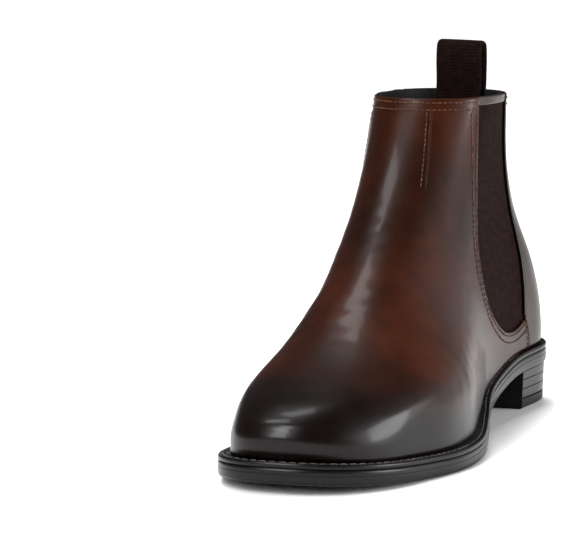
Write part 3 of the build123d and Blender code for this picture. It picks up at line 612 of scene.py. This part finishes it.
STEEL = hard("shank steel", (0.35, 0.35, 0.36), (0.6, 0.6, 0.61), metallic=1.0, rough=0.35,
             stretch=(8, 1, 1))
print("materials", len(bpy.data.materials))

# %% [markdown]
# ## Leather panels
# Real panels are cut flat, skived thin at the edge, folded and sewn over each other. Each one here
# is a sheet cut from the grid, with its edge rolled in and then given the leather's thickness.

# %% Fields of the leather panels
STRAP_REAR = np.array([(zip_y(178) + 13, 178), (zip_y(46) + 13, 46), (-3.0, 40), (-3.4, 31),
                       (-3.6, 20)], float)


def vamp_field(p, n, s):
    y, z = p[:, 1], p[:, 2]
    o = -line_distance(y, z, np.vstack([VAMP_OUT, SEAM_OUT[1:]]))
    i = -line_distance(y, z, np.vstack([VAMP_IN, SEAM_IN[1:]]))
    return np.minimum(np.where(s > 0, o, i), below_top(y, z))


def quarter_field(p, n, s):
    y, z = p[:, 1], p[:, 2]
    o = line_distance(y, z, np.vstack([REAR_OUT, SEAM_OUT[1:]]) + np.array([0.25, 0]))
    i = line_distance(y, z, STRAP_REAR + np.array([0.2, 0]))
    return np.minimum(np.where(s > 0, o, i), below_top(y, z))


def strap_field(p, n, s):
    y, z = p[:, 1], p[:, 2]
    rear = -line_distance(y, z, STRAP_REAR)
    seam = line_distance(y, z, SEAM_IN + np.array([0.3, 0]))
    band = np.maximum(y - zip_y(z) - 5.3, 45.8 - z)
    inside = np.minimum(np.minimum(rear, below_top(y, z)), np.minimum(np.where(z < 47, seam, 9.0), band))
    return np.where(s > 0, -9.0, inside)


def cut(field, sheet, loops=(0.22, 0.5, 0.9, 1.5)):
    sheet.split(field, 0.0, keep_inside=True)
    for level in loops:
        sheet.split(field, level)
    return sheet


vamp = make_piece("vamp_leather", cut(vamp_field, whole_grid()), vamp_field, 1.35, material=UPPER)
quarter = make_piece("quarter_leather", cut(quarter_field, whole_grid()), quarter_field, 1.35, material=UPPER)
strap = make_piece("strap_leather", cut(strap_field, whole_grid()), strap_field, 1.35, material=UPPER)
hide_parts("vamp"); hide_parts("back_quarter"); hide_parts("zip_strap")

# %% [markdown]
# ## Elastic gores, tapes and lining
# The elastic and the zip tape lie one ply below the leather and run on beneath its edges. They need
# a UV map in metres along and across the boot, because the weave follows the cloth and not the room.

# %% UVs from the side view
def side_uv(obj):
    mesh = obj.data
    uv = mesh.uv_layers.new(name="cloth")
    co = np.array([v.co[:] for v in mesh.vertices])
    for loop in mesh.loops:
        c = co[loop.vertex_index]
        uv.data[loop.index].uv = (float(c[1] + 0.42 * (c[2] - 0.1) * 0.35), float(c[2]))


def gore_field_out(p, n, s):
    y, z = p[:, 1], p[:, 2]
    f = np.minimum(line_distance(y, z, VAMP_OUT) + 5, 5 - line_distance(y, z, REAR_OUT))
    return np.where(s > 0, np.minimum(f, below_top(y, z, 1.2)), -9.0)


def gore_field_in(p, n, s):
    y, z = p[:, 1], p[:, 2]
    f = np.minimum(line_distance(y, z, VAMP_IN) + 5, zip_y(z) - 5.3 - y)
    return np.where(s < 0, np.minimum(np.minimum(f, z - 41), below_top(y, z, 1.2)), -9.0)


def tape_field(lo, hi):
    def field(p, n, s):
        y, z = p[:, 1], p[:, 2]
        d = y - zip_y(z)
        f = np.minimum(np.minimum(d - lo, hi - d), np.minimum(below_top(y, z, 1.2), z - 41))
        return np.where(s < 0, f, -9.0)
    return field


for name, field, cad, mat, sl in (
        ("gore_elastic_outer", gore_field_out, "gore_lateral", ELASTIC, "elastic"),
        ("gore_elastic_inner", gore_field_in, "gore_medial", ELASTIC, "elastic"),
        ("tape_front", tape_field(-5.2, -0.5), "zip_tape_front", TAPE, "zip_tape"),
        ("tape_rear", tape_field(0.5, 9.8), "zip_tape_rear", TAPE, "zip_tape")):
    deep, thick = (2.05, 0.35) if mat is TAPE else (1.5, 0.7)
    o = make_piece(name, cut(field, whole_grid(depth=deep), (0.5,)), field, thick, roll=0, material=mat)
    side_uv(o)
    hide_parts(cad)

# %% Lining: one black bag inside everything
def lining_field(p, n, s):
    return below_top(p[:, 1], p[:, 2], 0.3)


lining_sheet = cut(lining_field, whole_grid(grid, NORMAL, depth=2.5), (0.4, 1.0))
lining = make_piece("lining_leather", lining_sheet, lining_field, 0.7, roll=0.8, sink=-0.3, material=LINING)
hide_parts("vamp_lining", "quarter_lining", "zip_guard")

# %% Bindings over the gores' tops
def binding_field(side):
    def field(p, n, s):
        y, z = p[:, 1], p[:, 2]
        if side > 0:
            f = np.minimum(line_distance(y, z, VAMP_OUT) - 0.2, -line_distance(y, z, REAR_OUT) - 0.2)
        else:
            f = np.minimum(line_distance(y, z, VAMP_IN) - 0.2, zip_y(z) - 5.4 - y)
        f = np.minimum(f, np.minimum(below_top(y, z, 0.1), z - top_edge(y) + 4.1))
        return np.where(s * side > 0, f, -9.0)
    return field


for name, side, cad in (("binding_outer", 1, "binding_lateral"), ("binding_inner", -1, "binding_medial")):
    f = binding_field(side)
    o = make_piece(name, cut(f, whole_grid(depth=0.75), (0.3, 0.7)), f, 0.7, roll=0.7, sink=0.3, material=BINDING)
    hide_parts(cad)

# %% [markdown]
# ## Sole and heel by a swept edge
# A shoemaker trims a sole by running its edge against a shaped wheel. The same idea works here: a
# small profile of the edge is carried round the outline, and the top and bottom are closed across.

# %% Outline of the sole
edge_grow = station_curve([(45, 3.2), (10, 2.6), (-20, 2.2), (-60, 2.4), (-110, 4.6), (-200, 5.4),
                           (-270, 5.6)])
RING = 2 * 110


def plan_ring():
    half = []
    for side in (1, -1):
        y = -249 + 285 * (1 - np.cos(np.linspace(0, np.pi, 1200))) / 2
        x = wall_x(y, np.zeros_like(y), side)
        run = np.r_[0, np.cumsum(np.hypot(np.diff(x), np.diff(y)))]
        want = np.linspace(0, run[-1], RING // 2 + 1)
        half.append(np.stack([np.interp(want, run, x), np.interp(want, run, y)], 1))
    return np.vstack([half[0], half[1][1:-1][::-1]])


plan = plan_ring()
tangent = np.roll(plan, -1, 0) - np.roll(plan, 1, 0)
outward = np.stack([tangent[:, 1], -tangent[:, 0]], 1)
outward /= np.linalg.norm(outward, axis=1)[:, None]
if outward[RING // 4, 0] < 0:
    outward = -outward


def ring_at(grow):
    """The sole's outline, moved outwards by some millimetres."""
    return plan + outward * (edge_grow(plan[:, 1]) + grow)[:, None]


def solid_mesh(name, pts, faces, material, weld=False, ridden=True):
    """Adds a closed smooth mesh from points in millimetres, with its faces turned outwards."""
    mesh = bpy.data.meshes.new(name)
    mesh.from_pydata([tuple(q * MM) for q in pts], [], faces)
    bm = bmesh.new(); bm.from_mesh(mesh)
    if weld:
        bmesh.ops.remove_doubles(bm, verts=bm.verts, dist=1e-6)
    bmesh.ops.recalc_face_normals(bm, faces=bm.faces)
    bm.to_mesh(mesh); bm.free()
    for poly in mesh.polygons:
        poly.use_smooth = True
    obj = bpy.data.objects.new(name, mesh)
    bpy.context.collection.objects.link(obj)
    mesh.materials.append(material)
    if ridden:
        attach(obj, "boot")
    print(name, "faces", len(mesh.polygons))
    return obj


def tube_faces(rows, around):
    """Faces of a tube of rows of points, with a cap at each end."""
    faces = [[i * around + j, i * around + (j + 1) % around, (i + 1) * around + (j + 1) % around,
              (i + 1) * around + j] for i in range(rows - 1) for j in range(around)]
    return faces + [list(range(around)), list(range((rows - 1) * around, rows * around))]


def swept(name, profile, material, z_of, keep=None):
    """Carries (outward mm, height mm) profile points round the outline and closes top and bottom."""
    cols = np.arange(RING) if keep is None else np.array(keep)
    pts, faces, k = [], [], len(profile)
    for d, h in profile:
        r = ring_at(d)[cols]
        pts.append(np.column_stack([r, z_of(r[:, 1], h)]))
    pts = np.array(pts)
    n = len(cols)
    closed = keep is None
    for a in range(k - 1):
        for j in range(n if closed else n - 1):
            b = (j + 1) % n
            faces.append([a * n + j, a * n + b, (a + 1) * n + b, (a + 1) * n + j])
    for a in (0, k - 1):
        if closed:
            for j in range(n // 2):
                q = [a * n + j, a * n + (j + 1) % n, a * n + (n - j - 1) % n, a * n + (n - j) % n]
                faces.append([i for m, i in enumerate(q) if i not in q[:m]])
        else:
            for j in range(n // 2):
                q = [a * n + j, a * n + j + 1, a * n + n - 2 - j, a * n + n - 1 - j]
                q = [i for m, i in enumerate(q) if i not in q[:m]]
                if len(q) > 2:
                    faces.append(q)
    if not closed:
        for a in range(k - 1):
            faces.append([a * n, (a + 1) * n, (a + 1) * n + n - 1, a * n + n - 1])
    obj = solid_mesh(name, pts.reshape(-1, 3), faces, material, weld=True)
    obj.data.set_sharp_from_angle(angle=math.radians(42))
    return obj


def from_feather(y, h):
    return feather(y) + h


WELT_EDGE = [(-9, -0.12), (-3.6, -0.12), (-3.3, -0.3), (-1.5, -0.3), (-1.2, -0.12), (-0.7, -0.15),
             (-0.25, -0.4), (0, -0.9), (0.02, -1.7), (-0.15, -2.3), (-0.5, -2.6), (-9, -2.6)]
SOLE_PROFILE = [(-20, -2.7), (-0.8, -2.7), (-0.35, -2.95), (-0.1, -3.4), (0, -4.1), (-0.02, -5.2),
                (-0.22, -5.3), (-0.22, -5.5), (-0.02, -5.6), (0, -8.4), (-0.2, -9.2), (-0.7, -9.75),
                (-1.5, -9.99), (-20, -9.99)]
welt = swept("welt_strip", WELT_EDGE, SOLE_EDGE, from_feather)
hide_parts("welt")
outsole = swept("outsole_rubber", SOLE_PROFILE, SOLE_EDGE, from_feather)
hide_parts("outsole")

# %% [markdown]
# ## The stacked heel
# The heel is built of lifts glued in a stack, then trimmed, inked and waxed until the joints are
# only faint lines. Each lift is its own piece with slightly eased edges, so the joints are real.

# %% Lifts and top piece
behind_breast = np.nonzero(ring_at(0.0)[:, 1] > -21.6)[0]
heel_cols = list(range(behind_breast.min(), behind_breast.max() + 1))


def level(y, h):
    return np.full_like(y, h)


def heel_piece(name, cad, z0, z1, material, meets_sole=False, ease=0.3):
    """One lift between two heights; its outline tapers towards the ground."""
    low, mid, high = (-1.6 + 1.1 * z / 30 for z in (z0, (z0 + z1) / 2, z1))
    prof = [(low - 14, z0), (low - ease * 1.6, z0), (low - 0.05, z0 + ease), (mid, (z0 + z1) / 2),
            (high - 0.05, z1 - ease), (high - ease * 1.6, z1), (high - 14, z1)]

    def under_sole(y, h):
        return np.where(h > z0 + 1.0, feather(y) - 10.02 - (z1 - h), h)

    o = swept(name, prof, material, under_sole if meets_sole else level, keep=heel_cols)
    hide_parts(cad)
    return o


heel_piece("heel_top_rubber", "heel_top_piece", 0.0, 5.5, RUBBER, ease=0.7)
heel_piece("heel_lift_low", "heel_lift_lower", 5.55, 10.2, HEEL_EDGE, ease=0.22)
heel_piece("heel_lift_mid", "heel_lift_middle", 10.25, 14.9, HEEL_EDGE, ease=0.22)
heel_piece("heel_lift_top", "heel_lift_upper", 14.95, 19.5, HEEL_EDGE, meets_sole=True, ease=0.22)

# %% [markdown]
# ## Stitches with Geometry Nodes
# A seam is one stitch repeated hundreds of times along a path, which is what Geometry Nodes are for.
# The path is measured into points, a small thread loop is set on each, turned along the path, and
# the result is realised into a plain mesh.

# %% The stitch tree
def thread_mesh(length, width, height):
    """A short plump thread that dips into the leather at both ends."""
    mesh = bpy.data.meshes.new("one stitch")
    bm = bmesh.new()
    rings = []
    sixths = [math.pi / 3 * q for q in range(6)]
    for k in range(5):
        t = k / 4 * 2 - 1
        lift = height * (1 - t * t) * 0.55
        w = width * (0.55 + 0.45 * (1 - t**4)) / 2
        rings.append([bm.verts.new((t * length / 2, w * math.cos(a), lift + height * 0.5 * math.sin(a)))
                      for a in sixths])
    for a, b in zip(rings, rings[1:]):
        for q in range(6):
            bm.faces.new((a[q], a[(q + 1) % 6], b[(q + 1) % 6], b[q]))
    bm.faces.new(rings[0]); bm.faces.new(rings[-1][::-1])
    bmesh.ops.recalc_face_normals(bm, faces=bm.faces)
    for f in bm.faces:
        f.smooth = True
    bm.to_mesh(mesh); bm.free()
    return mesh


def stitch_tree():
    t = bpy.data.node_groups.new("stitch along path", "GeometryNodeTree")
    for label, kind, d in (("Geometry", "NodeSocketGeometry", None), ("Spacing", "NodeSocketFloat", 0.003),
                           ("Stitch", "NodeSocketObject", None), ("Thread", "NodeSocketMaterial", None),
                           ("Seed", "NodeSocketInt", 3)):
        s = t.interface.new_socket(label, in_out="INPUT", socket_type=kind)
        if d is not None:
            s.default_value = d
    t.interface.new_socket("Geometry", in_out="OUTPUT", socket_type="NodeSocketGeometry")
    gi, go = t.nodes.new("NodeGroupInput"), t.nodes.new("NodeGroupOutput")
    curve = t.nodes.new("GeometryNodeMeshToCurve")
    even = t.nodes.new("GeometryNodeResampleCurve"); even.mode = "LENGTH"
    inst = t.nodes.new("GeometryNodeInstanceOnPoints")
    info = t.nodes.new("GeometryNodeObjectInfo")
    tang = t.nodes.new("GeometryNodeInputTangent")
    norm = t.nodes.new("GeometryNodeInputNamedAttribute"); norm.data_type = "FLOAT_VECTOR"
    norm.inputs["Name"].default_value = "out"
    ax = t.nodes.new("FunctionNodeAxesToRotation"); ax.primary_axis, ax.secondary_axis = "X", "Z"
    rnd = t.nodes.new("FunctionNodeRandomValue"); rnd.data_type = "FLOAT"
    rnd.inputs[2].default_value, rnd.inputs[3].default_value = 0.92, 1.08
    real = t.nodes.new("GeometryNodeRealizeInstances")
    mat = t.nodes.new("GeometryNodeSetMaterial")
    L = t.links.new
    L(gi.outputs["Geometry"], curve.inputs["Mesh"]); L(curve.outputs["Curve"], even.inputs["Curve"])
    L(gi.outputs["Spacing"], even.inputs["Length"]); L(even.outputs["Curve"], inst.inputs["Points"])
    L(gi.outputs["Stitch"], info.inputs["Object"]); L(info.outputs["Geometry"], inst.inputs["Instance"])
    L(tang.outputs[0], ax.inputs["Primary Axis"]); L(norm.outputs["Attribute"], ax.inputs["Secondary Axis"])
    L(ax.outputs[0], inst.inputs["Rotation"]); L(gi.outputs["Seed"], rnd.inputs["Seed"]); L(rnd.outputs[1], inst.inputs["Scale"])
    L(inst.outputs["Instances"], real.inputs["Geometry"]); L(real.outputs["Geometry"], mat.inputs["Geometry"])
    L(gi.outputs["Thread"], mat.inputs["Material"]); L(mat.outputs["Geometry"], go.inputs["Geometry"])
    return t


STITCHES = stitch_tree()


def sew(name, paths, spacing, length, width, height, material, body="boot"):
    """Sews stitches along paths of (points, outward directions), both in millimetres."""
    mesh = bpy.data.meshes.new(name + " path")
    pts, nrm, edges = [], [], []
    for p, n in paths:
        edges += [(len(pts) + i, len(pts) + i + 1) for i in range(len(p) - 1)]
        pts += [tuple(v * MM) for v in p]; nrm += [tuple(v) for v in n]
    mesh.from_pydata(pts, edges, [])
    attr = mesh.attributes.new("out", "FLOAT_VECTOR", "POINT")
    attr.data.foreach_set("vector", np.array(nrm, float).ravel())
    one = bpy.data.objects.new("one stitch", thread_mesh(length * MM, width * MM, height * MM))
    bpy.context.collection.objects.link(one)
    src = bpy.data.objects.new(name + " source", mesh)
    bpy.context.collection.objects.link(src)
    mod = src.modifiers.new("sew", "NODES"); mod.node_group = STITCHES
    ids = {s.name: s.identifier for s in STITCHES.interface.items_tree if s.in_out == "INPUT"}
    mod[ids["Spacing"]], mod[ids["Stitch"]], mod[ids["Thread"]] = spacing * MM, one, material
    bpy.context.view_layer.update()
    done = bpy.data.meshes.new_from_object(src.evaluated_get(bpy.context.evaluated_depsgraph_get()))
    bpy.data.objects.remove(src); bpy.data.objects.remove(one)
    obj = bpy.data.objects.new(name, done)
    bpy.context.collection.objects.link(obj)
    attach(obj, body)
    print(name, "faces", len(done.polygons))
    return obj


# %% Snap to the skin
def skin_tree():
    """The finished outer surface as a search tree, so that a thread lies exactly on the leather."""
    n = 2 * HALF
    quads = [(i * n + j, i * n + (j + 1) % n, (i + 1) * n + (j + 1) % n, (i + 1) * n + j)
             for i in range(ROWS - 1) for j in range(n)]
    return BVHTree.FromPolygons([Vector(v) for v in OUTER.reshape(-1, 3)], quads)


SKIN = skin_tree()


def snap(points, guide, lift):
    """Nearest places on the skin, raised by `lift` mm, and outward directions on the guide's side."""
    place, out = [], []
    for q, g in zip(points, guide):
        hit, n, _, _ = SKIN.find_nearest(Vector(q))
        n = n if n.dot(Vector(g)) > 0 else -n
        place.append(hit + n * lift); out.append(n)
    return np.array(place), np.array(out)


# %% Paths on the wall of the boot
def on_wall(y, z, side, lift=0.0):
    """Points and outward directions on the outer surface for side-view points."""
    y, z = np.asarray(y, float), np.asarray(z, float)
    p = np.stack([wall_x(y, z, side), y, z], 1)
    e = 0.4
    dy = (wall_x(y + e, z, side) - wall_x(y - e, z, side)) / (2 * e)
    dz = (wall_x(y, z + e, side) - wall_x(y, z - e, side)) / (2 * e)
    n = np.stack([np.ones_like(y) * side, -dy * side, -dz * side], 1)
    n /= np.linalg.norm(n, axis=1)[:, None]
    return snap(p, n, lift)


def beside(line, d, side, lift, z_max=149.0):
    t = np.gradient(line, axis=0)
    t /= np.linalg.norm(t, axis=1)[:, None]
    q = line + np.stack([t[:, 1], -t[:, 0]], 1) * d
    q = q[q[:, 1] < z_max]
    return on_wall(q[:, 0], q[:, 1], side, lift)


def level_row(row_drop, keep):
    """Part of a ring at a fixed drop below the top edge, from the grid itself."""
    z = OUTER[:, :, 2]
    out_p, out_n = [], []
    for j in range(2 * HALF):
        target = top_edge(OUTER[-1, j, 1]) - row_drop
        r = np.interp(target, z[:, j], np.arange(ROWS))
        a = int(r); f = r - a
        b = min(a + 1, ROWS - 1)
        p = OUTER[a, j] * (1 - f) + OUTER[b, j] * f
        out_p.append(p); out_n.append(NORMAL_O[a, j])
    out_p, out_n = np.array(out_p), np.array(out_n)
    ok = keep(out_p, SIDE[0])
    start = int(np.argmax(~ok)) if (~ok).any() else 0
    order = [(start + k) % (2 * HALF) for k in range(2 * HALF)]
    runs, cur = [], []
    for j in order:
        if ok[j]:
            cur.append(j)
        elif cur:
            runs.append(cur); cur = []
    if cur:
        runs.append(cur)
    return [(out_p[r] + out_n[r] * 0.14, out_n[r]) for r in runs if len(r) > 4]


# %% Sew the upper
LIFT = 0.16
FINE_STITCH = (2.75, 2.15, 0.62, 0.34)      # spacing, length, width and height in millimetres
WELT_STITCH = (4.6, 3.7, 0.85, 0.55)
seams = []
for side, vline, sline in ((1, VAMP_OUT, SEAM_OUT), (-1, VAMP_IN, SEAM_IN)):
    for d in (1.9, 5.2):
        seams.append(beside(vline, d, side, LIFT))
        if d < 3:
            low = sline[(sline[:, 1] > 31.2) & (sline[:, 1] < 41)]
            seams.append(on_wall(low[:, 0] - d, low[:, 1], side, LIFT))
sew("seam_stitches_gore", seams, *FINE_STITCH, THREAD)
zs = np.linspace(47, 149, 80)
sew("seam_stitches_strap", [on_wall(zip_y(zs) + 5.3 + 1.7, zs, -1, LIFT), on_wall(zip_y(zs) + 13 - 1.7, zs, -1, LIFT)],
    *FINE_STITCH, THREAD)


def on_vamp_or_quarter(p, s):
    y, z = p[:, 1], p[:, 2]
    front = line_distance(y, z, VAMP_OUT) < -1.2
    rear = np.where(s > 0, line_distance(y, z, REAR_OUT) > 1.2, y > zip_y(z) + 6.4)
    return front | rear


rows = []
for drop in (2.3, 5.6):
    rows += level_row(drop, on_vamp_or_quarter)
sew("seam_stitches_top", rows, *FINE_STITCH, THREAD)

# %% Sew the welt
ledge = ring_at(-2.4)
sel = [i for i in range(RING) if ledge[i, 1] < -24]
first = [i for i in sel if i <= RING // 2]
second = [i for i in sel if i > RING // 2]
r = ledge[second + [0] + first[1:]]
slope = (feather(r[:, 1] + 1) - feather(r[:, 1] - 1)) / 2
paths = [(np.column_stack([r, feather(r[:, 1]) - 0.28]), np.stack([0 * slope, -slope, 0 * slope + 1], 1))]
sew("welt_stitches", paths, *WELT_STITCH, WELT_THREAD)

# %% [markdown]
# ## Centre dart
# A short dart is sewn down the front of the shaft from the top edge. It shows as a low ridge with a
# row of stitches beside it.

# %% Dart ridge and stitches
def front_at(dx, z):
    """Front points at a sideways distance from the ridge line."""
    z = np.asarray(z, float)
    lo, hi = front_line(z), front_line(z) + 30
    for _ in range(40):
        y = (lo + hi) / 2
        near = wall_x(y, z, 1) - swing(y) - lean(z) < np.abs(dx)
        lo, hi = np.where(near, y, lo), np.where(near, hi, y)
    p = np.stack([swing(hi) + lean(z) + dx, hi, z], 1)
    slope = (front_line(z + 1) - front_line(z - 1)) / 2
    n = np.stack([z * 0 + dx / 32.0, -np.ones_like(z), slope], 1)
    n /= np.linalg.norm(n, axis=1)[:, None]
    return snap(p, n, 0.0)


def dart_line(z, offset=0.0):
    """Sideways place of the dart; it runs a little outwards as it goes down."""
    return 8.2 + (151 - z) * 0.13 + offset


dz = np.linspace(150.5, 119, 40)
dart_p, dart_n = front_at(dart_line(dz), dz)
sew("dart_stitches", [(dart_p + dart_n * 0.12, dart_n)], 2.75, 2.15, 0.6, 0.34, THREAD)


def bead(name, p, n, width, height, material):
    """A low rounded bead along a path, thinning at both ends."""
    t = np.gradient(p, axis=0)
    side = np.cross(t, n)
    side /= np.linalg.norm(side, axis=1)[:, None]
    k = len(p)
    taper = np.clip(np.minimum(np.arange(k), np.arange(k)[::-1]) / 5.0, 0.08, 1)
    ang = np.linspace(0, 2 * np.pi, 10, endpoint=False)
    pts = [p + side * (np.cos(a) * width / 2 * taper)[:, None] + n * (np.sin(a) * height * taper)[:, None]
           for a in ang]
    pts = np.array(pts).transpose(1, 0, 2).reshape(-1, 3)
    o = solid_mesh(name, pts, tube_faces(k, 10), material)
    return o


rz = np.linspace(155, 117, 50)
bead("dart_ridge", *front_at(dart_line(rz, 1.9), rz), 1.5, 0.5, UPPER)
edge = REAR_OUT[(REAR_OUT[:, 1] < 154) & (REAR_OUT[:, 1] > 46)]
pp, nn = on_wall(edge[:, 0] - 0.4, edge[:, 1], 1, -0.5)
bead("piping_outer", pp, nn, 1.7, 0.75, PIPING)
print("ridge and piping made")

# %% [markdown]
# ## Pull loop
# The loop is one length of ribbed webbing, sewn inside and outside at the back of the top edge. The
# strip is drawn as a side line with a width, and it curves up from the boot into the loop.

# %% Webbing strip
LOOP_LO, LOOP_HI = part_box("pull_loop")
bend = next(j for j in frame["record"]["behaviour"]["joints"] if j["name"] == "pull_loop_bend")
HINGE = Vector(bend["pos_m"])
cx, hy = HINGE.x / MM, HINGE.y / MM
top_z, wide = LOOP_HI.z / MM, (LOOP_HI.x - LOOP_LO.x) / MM
LEG = smooth_line([(hy - 5.0, 128), (hy - 4.9, 142), (hy - 4.7, 155), (hy - 4.9, 163), (hy - 5.4, 171),
                   (hy - 4.4, top_z - 3.0), (hy, top_z - 0.9), (hy + 4.4, top_z - 3.0), (hy + 5.4, 171),
                   (hy + 4.9, 163), (hy + 4.75, 155), (hy + 4.7, 147), (hy + 4.5, 139)], 16)


def webbing(name, line, width, thick, cols=28):
    """A flat strip with rounded edges along a side line, with its UVs in metres."""
    t = np.gradient(line, axis=0)
    t /= np.linalg.norm(t, axis=1)[:, None]
    n = np.stack([-t[:, 1], t[:, 0]], 1)
    run = np.r_[0, np.cumsum(np.linalg.norm(np.diff(line, axis=0), axis=1))]
    across = np.linspace(-0.5, 0.5, cols + 1)
    section = []
    for side in (1, -1):
        for u in (across if side > 0 else across[::-1]):
            edge = 1 - np.clip((0.5 - abs(u)) / 0.05, 0, 1) ** 0.5
            rib = 0.02 * math.cos(u * cols * math.pi)
            section.append((u, side * (thick / 2 * (1 - 0.75 * edge) + rib * (1 - edge))))
    pts, uv = [], []
    for i, (y, z) in enumerate(line):
        for u, d in section:
            bow = -1.7 * (2 * u) ** 2 * np.clip((160 - z) / 12, 0, 1)
            sag = 0.35 * math.sin(run[i] * 0.16 + u * 2.1)
            pts.append((cx + u * width, y + n[i, 0] * d + bow + 0.25 * sag * (z > 160),
                        z + n[i, 1] * d + sag * (z > 172) * 0.8))
            uv.append((u * width * MM, run[i] * MM))
    o = solid_mesh(name, np.array(pts), tube_faces(len(line), len(section)), WEBBING, ridden=False)
    layer = o.data.uv_layers.new(name="cloth")
    for loop in o.data.loops:
        layer.data[loop.index].uv = uv[loop.vertex_index]
    return o


web = webbing("pull_loop_webbing", LEG, wide - 0.4, 1.5)
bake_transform(web)
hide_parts("pull_loop", "pull_loop_tabs")

# %% [markdown]
# ## Finishes for the kept engineering parts
# Hard parts keep their exact shape. Only their material slots change.

# %% Paint the kept nodes
PAINT = {"zip_slider": GUNMETAL, "zip_pull": GUNMETAL, "zip_teeth_front": TOOTH, "zip_teeth_rear": TOOTH,
         "toe_puff": STIFF, "heel_counter": STIFF, "insole_board": BOARD, "bottom_filler": BOARD,
         "shank": STEEL, "sock_liner": LINING}
for name, mat in PAINT.items():
    o = NODES[name]
    for s in o.material_slots:
        s.material = mat
print("painted", len(PAINT))

# %% [markdown]
# ## Studio
# Dark polished leather is drawn by what it reflects. One broad light, which mirrors in nothing,
# whitens the floor. Soft boxes then draw the streak down the shaft, the gleam on the toe and the
# pale side of the quarter.

# %% Floor and world
floor = bpy.data.meshes.new("floor")
floor.from_pydata([(-9, -9, 0), (9, -9, 0), (9, 9, 0), (-9, 9, 0)], [], [(0, 1, 2, 3)])
floor_o = bpy.data.objects.new("floor", floor)
bpy.context.collection.objects.link(floor_o)
fm, ft, fb, ftc = blank("pale floor")
fb.inputs["Base Color"].default_value = (0.9, 0.9, 0.9, 1)
fb.inputs["Roughness"].default_value = 0.9
fb.inputs["Specular IOR Level"].default_value = 0.0
floor.materials.append(fm)
world = bpy.data.worlds.new("studio")
bpy.context.scene.world = world
world.use_nodes = True
wt = world.node_tree
back_node = wt.nodes["Background"]
wtc = wt.nodes.new("ShaderNodeTexCoord")
wdot = wt.nodes.new("ShaderNodeVectorMath")
wdot.operation = "DOT_PRODUCT"
wdot.inputs[1].default_value = (0.85, 0.5, 0.1)
wramp = wt.nodes.new("ShaderNodeMapRange")
wramp.interpolation_type = "SMOOTHSTEP"
for label, v in (("From Min", 0.45), ("From Max", 0.95), ("To Min", 0.08), ("To Max", 1.0)):
    wramp.inputs[label].default_value = v
wt.links.new(wtc.outputs["Generated"], wdot.inputs[0])
wt.links.new(wdot.outputs["Value"], wramp.inputs["Value"])
wt.links.new(wramp.outputs[0], back_node.inputs["Strength"])
back_node.inputs["Color"].default_value = (1, 1, 1, 1)


def soft_box(name, place, aim, size, power, color=(1, 1, 1)):
    light = bpy.data.lights.new(name, "AREA")
    light.shape, light.size, light.size_y, light.energy, light.color = "RECTANGLE", size[0], size[1], power, color
    o = bpy.data.objects.new(name, light)
    bpy.context.collection.objects.link(o)
    o.location = place
    o.rotation_mode = "QUATERNION"
    o.rotation_quaternion = (Vector(aim) - Vector(place)).to_track_quat("-Z", "Y")
    return o


sky = bpy.data.lights.new("sky panel", "SUN")
sky.energy, sky.angle = 3.9, math.radians(30)
sky_o = bpy.data.objects.new("sky panel", sky)
bpy.context.collection.objects.link(sky_o)
sky_o.visible_glossy = False
sky_o.rotation_mode = "QUATERNION"
sky_o.rotation_quaternion = (-Vector((-0.28, 0.5, 0.82))).to_track_quat("-Z", "Y")
soft_box("strip_low", (-0.4, -1.45, 0.76), (0, -0.06, 0.1), (0.3, 0.9), 17)
soft_box("strip_high", (-0.32, -0.95, 1.15), (0, -0.08, 0.08), (0.3, 0.6), 10)
soft_box("overhead", (-0.5, -0.2, 1.3), (0, -0.1, 0.06), (0.3, 0.4), 4)
soft_box("back", (-0.3, 0.3, 1.3), (0, -0.22, 0.03), (0.35, 0.25), 2.5)
soft_box("right", (1.3, 0.1, 0.3), (0, 0, 0.06), (0.5, 0.6), 16)

# %% Camera
AZIMUTH, ELEVATION, DISTANCE, LENS = 16.31, 8.0, 1.65, 215.724
AIM_RIGHT, AIM_UP = -0.043943, -0.0059756    # the aim beside the target, as slopes of the view
a, e = math.radians(AZIMUTH), math.radians(ELEVATION)
back = Vector((math.sin(a) * math.cos(e), -math.cos(a) * math.cos(e), math.sin(e)))
right = (-back).cross(Vector((0, 0, 1))).normalized()
upv = right.cross(-back)
ray = -back + right * AIM_RIGHT + upv * AIM_UP
cam_data = bpy.data.cameras.new("camera")
cam = bpy.data.objects.new("camera", cam_data)
bpy.context.collection.objects.link(cam)
cam.location = Vector((0, -0.06, 0.08)) + back * DISTANCE
cam.rotation_mode = "QUATERNION"
cam.rotation_quaternion = ray.to_track_quat("-Z", "Y")
cam_data.sensor_width, cam_data.lens = 36.0, LENS
cam_data.clip_start, cam_data.clip_end = 0.05, 50
bpy.context.scene.camera = cam
bpy.context.scene.view_settings.view_transform = "Standard"
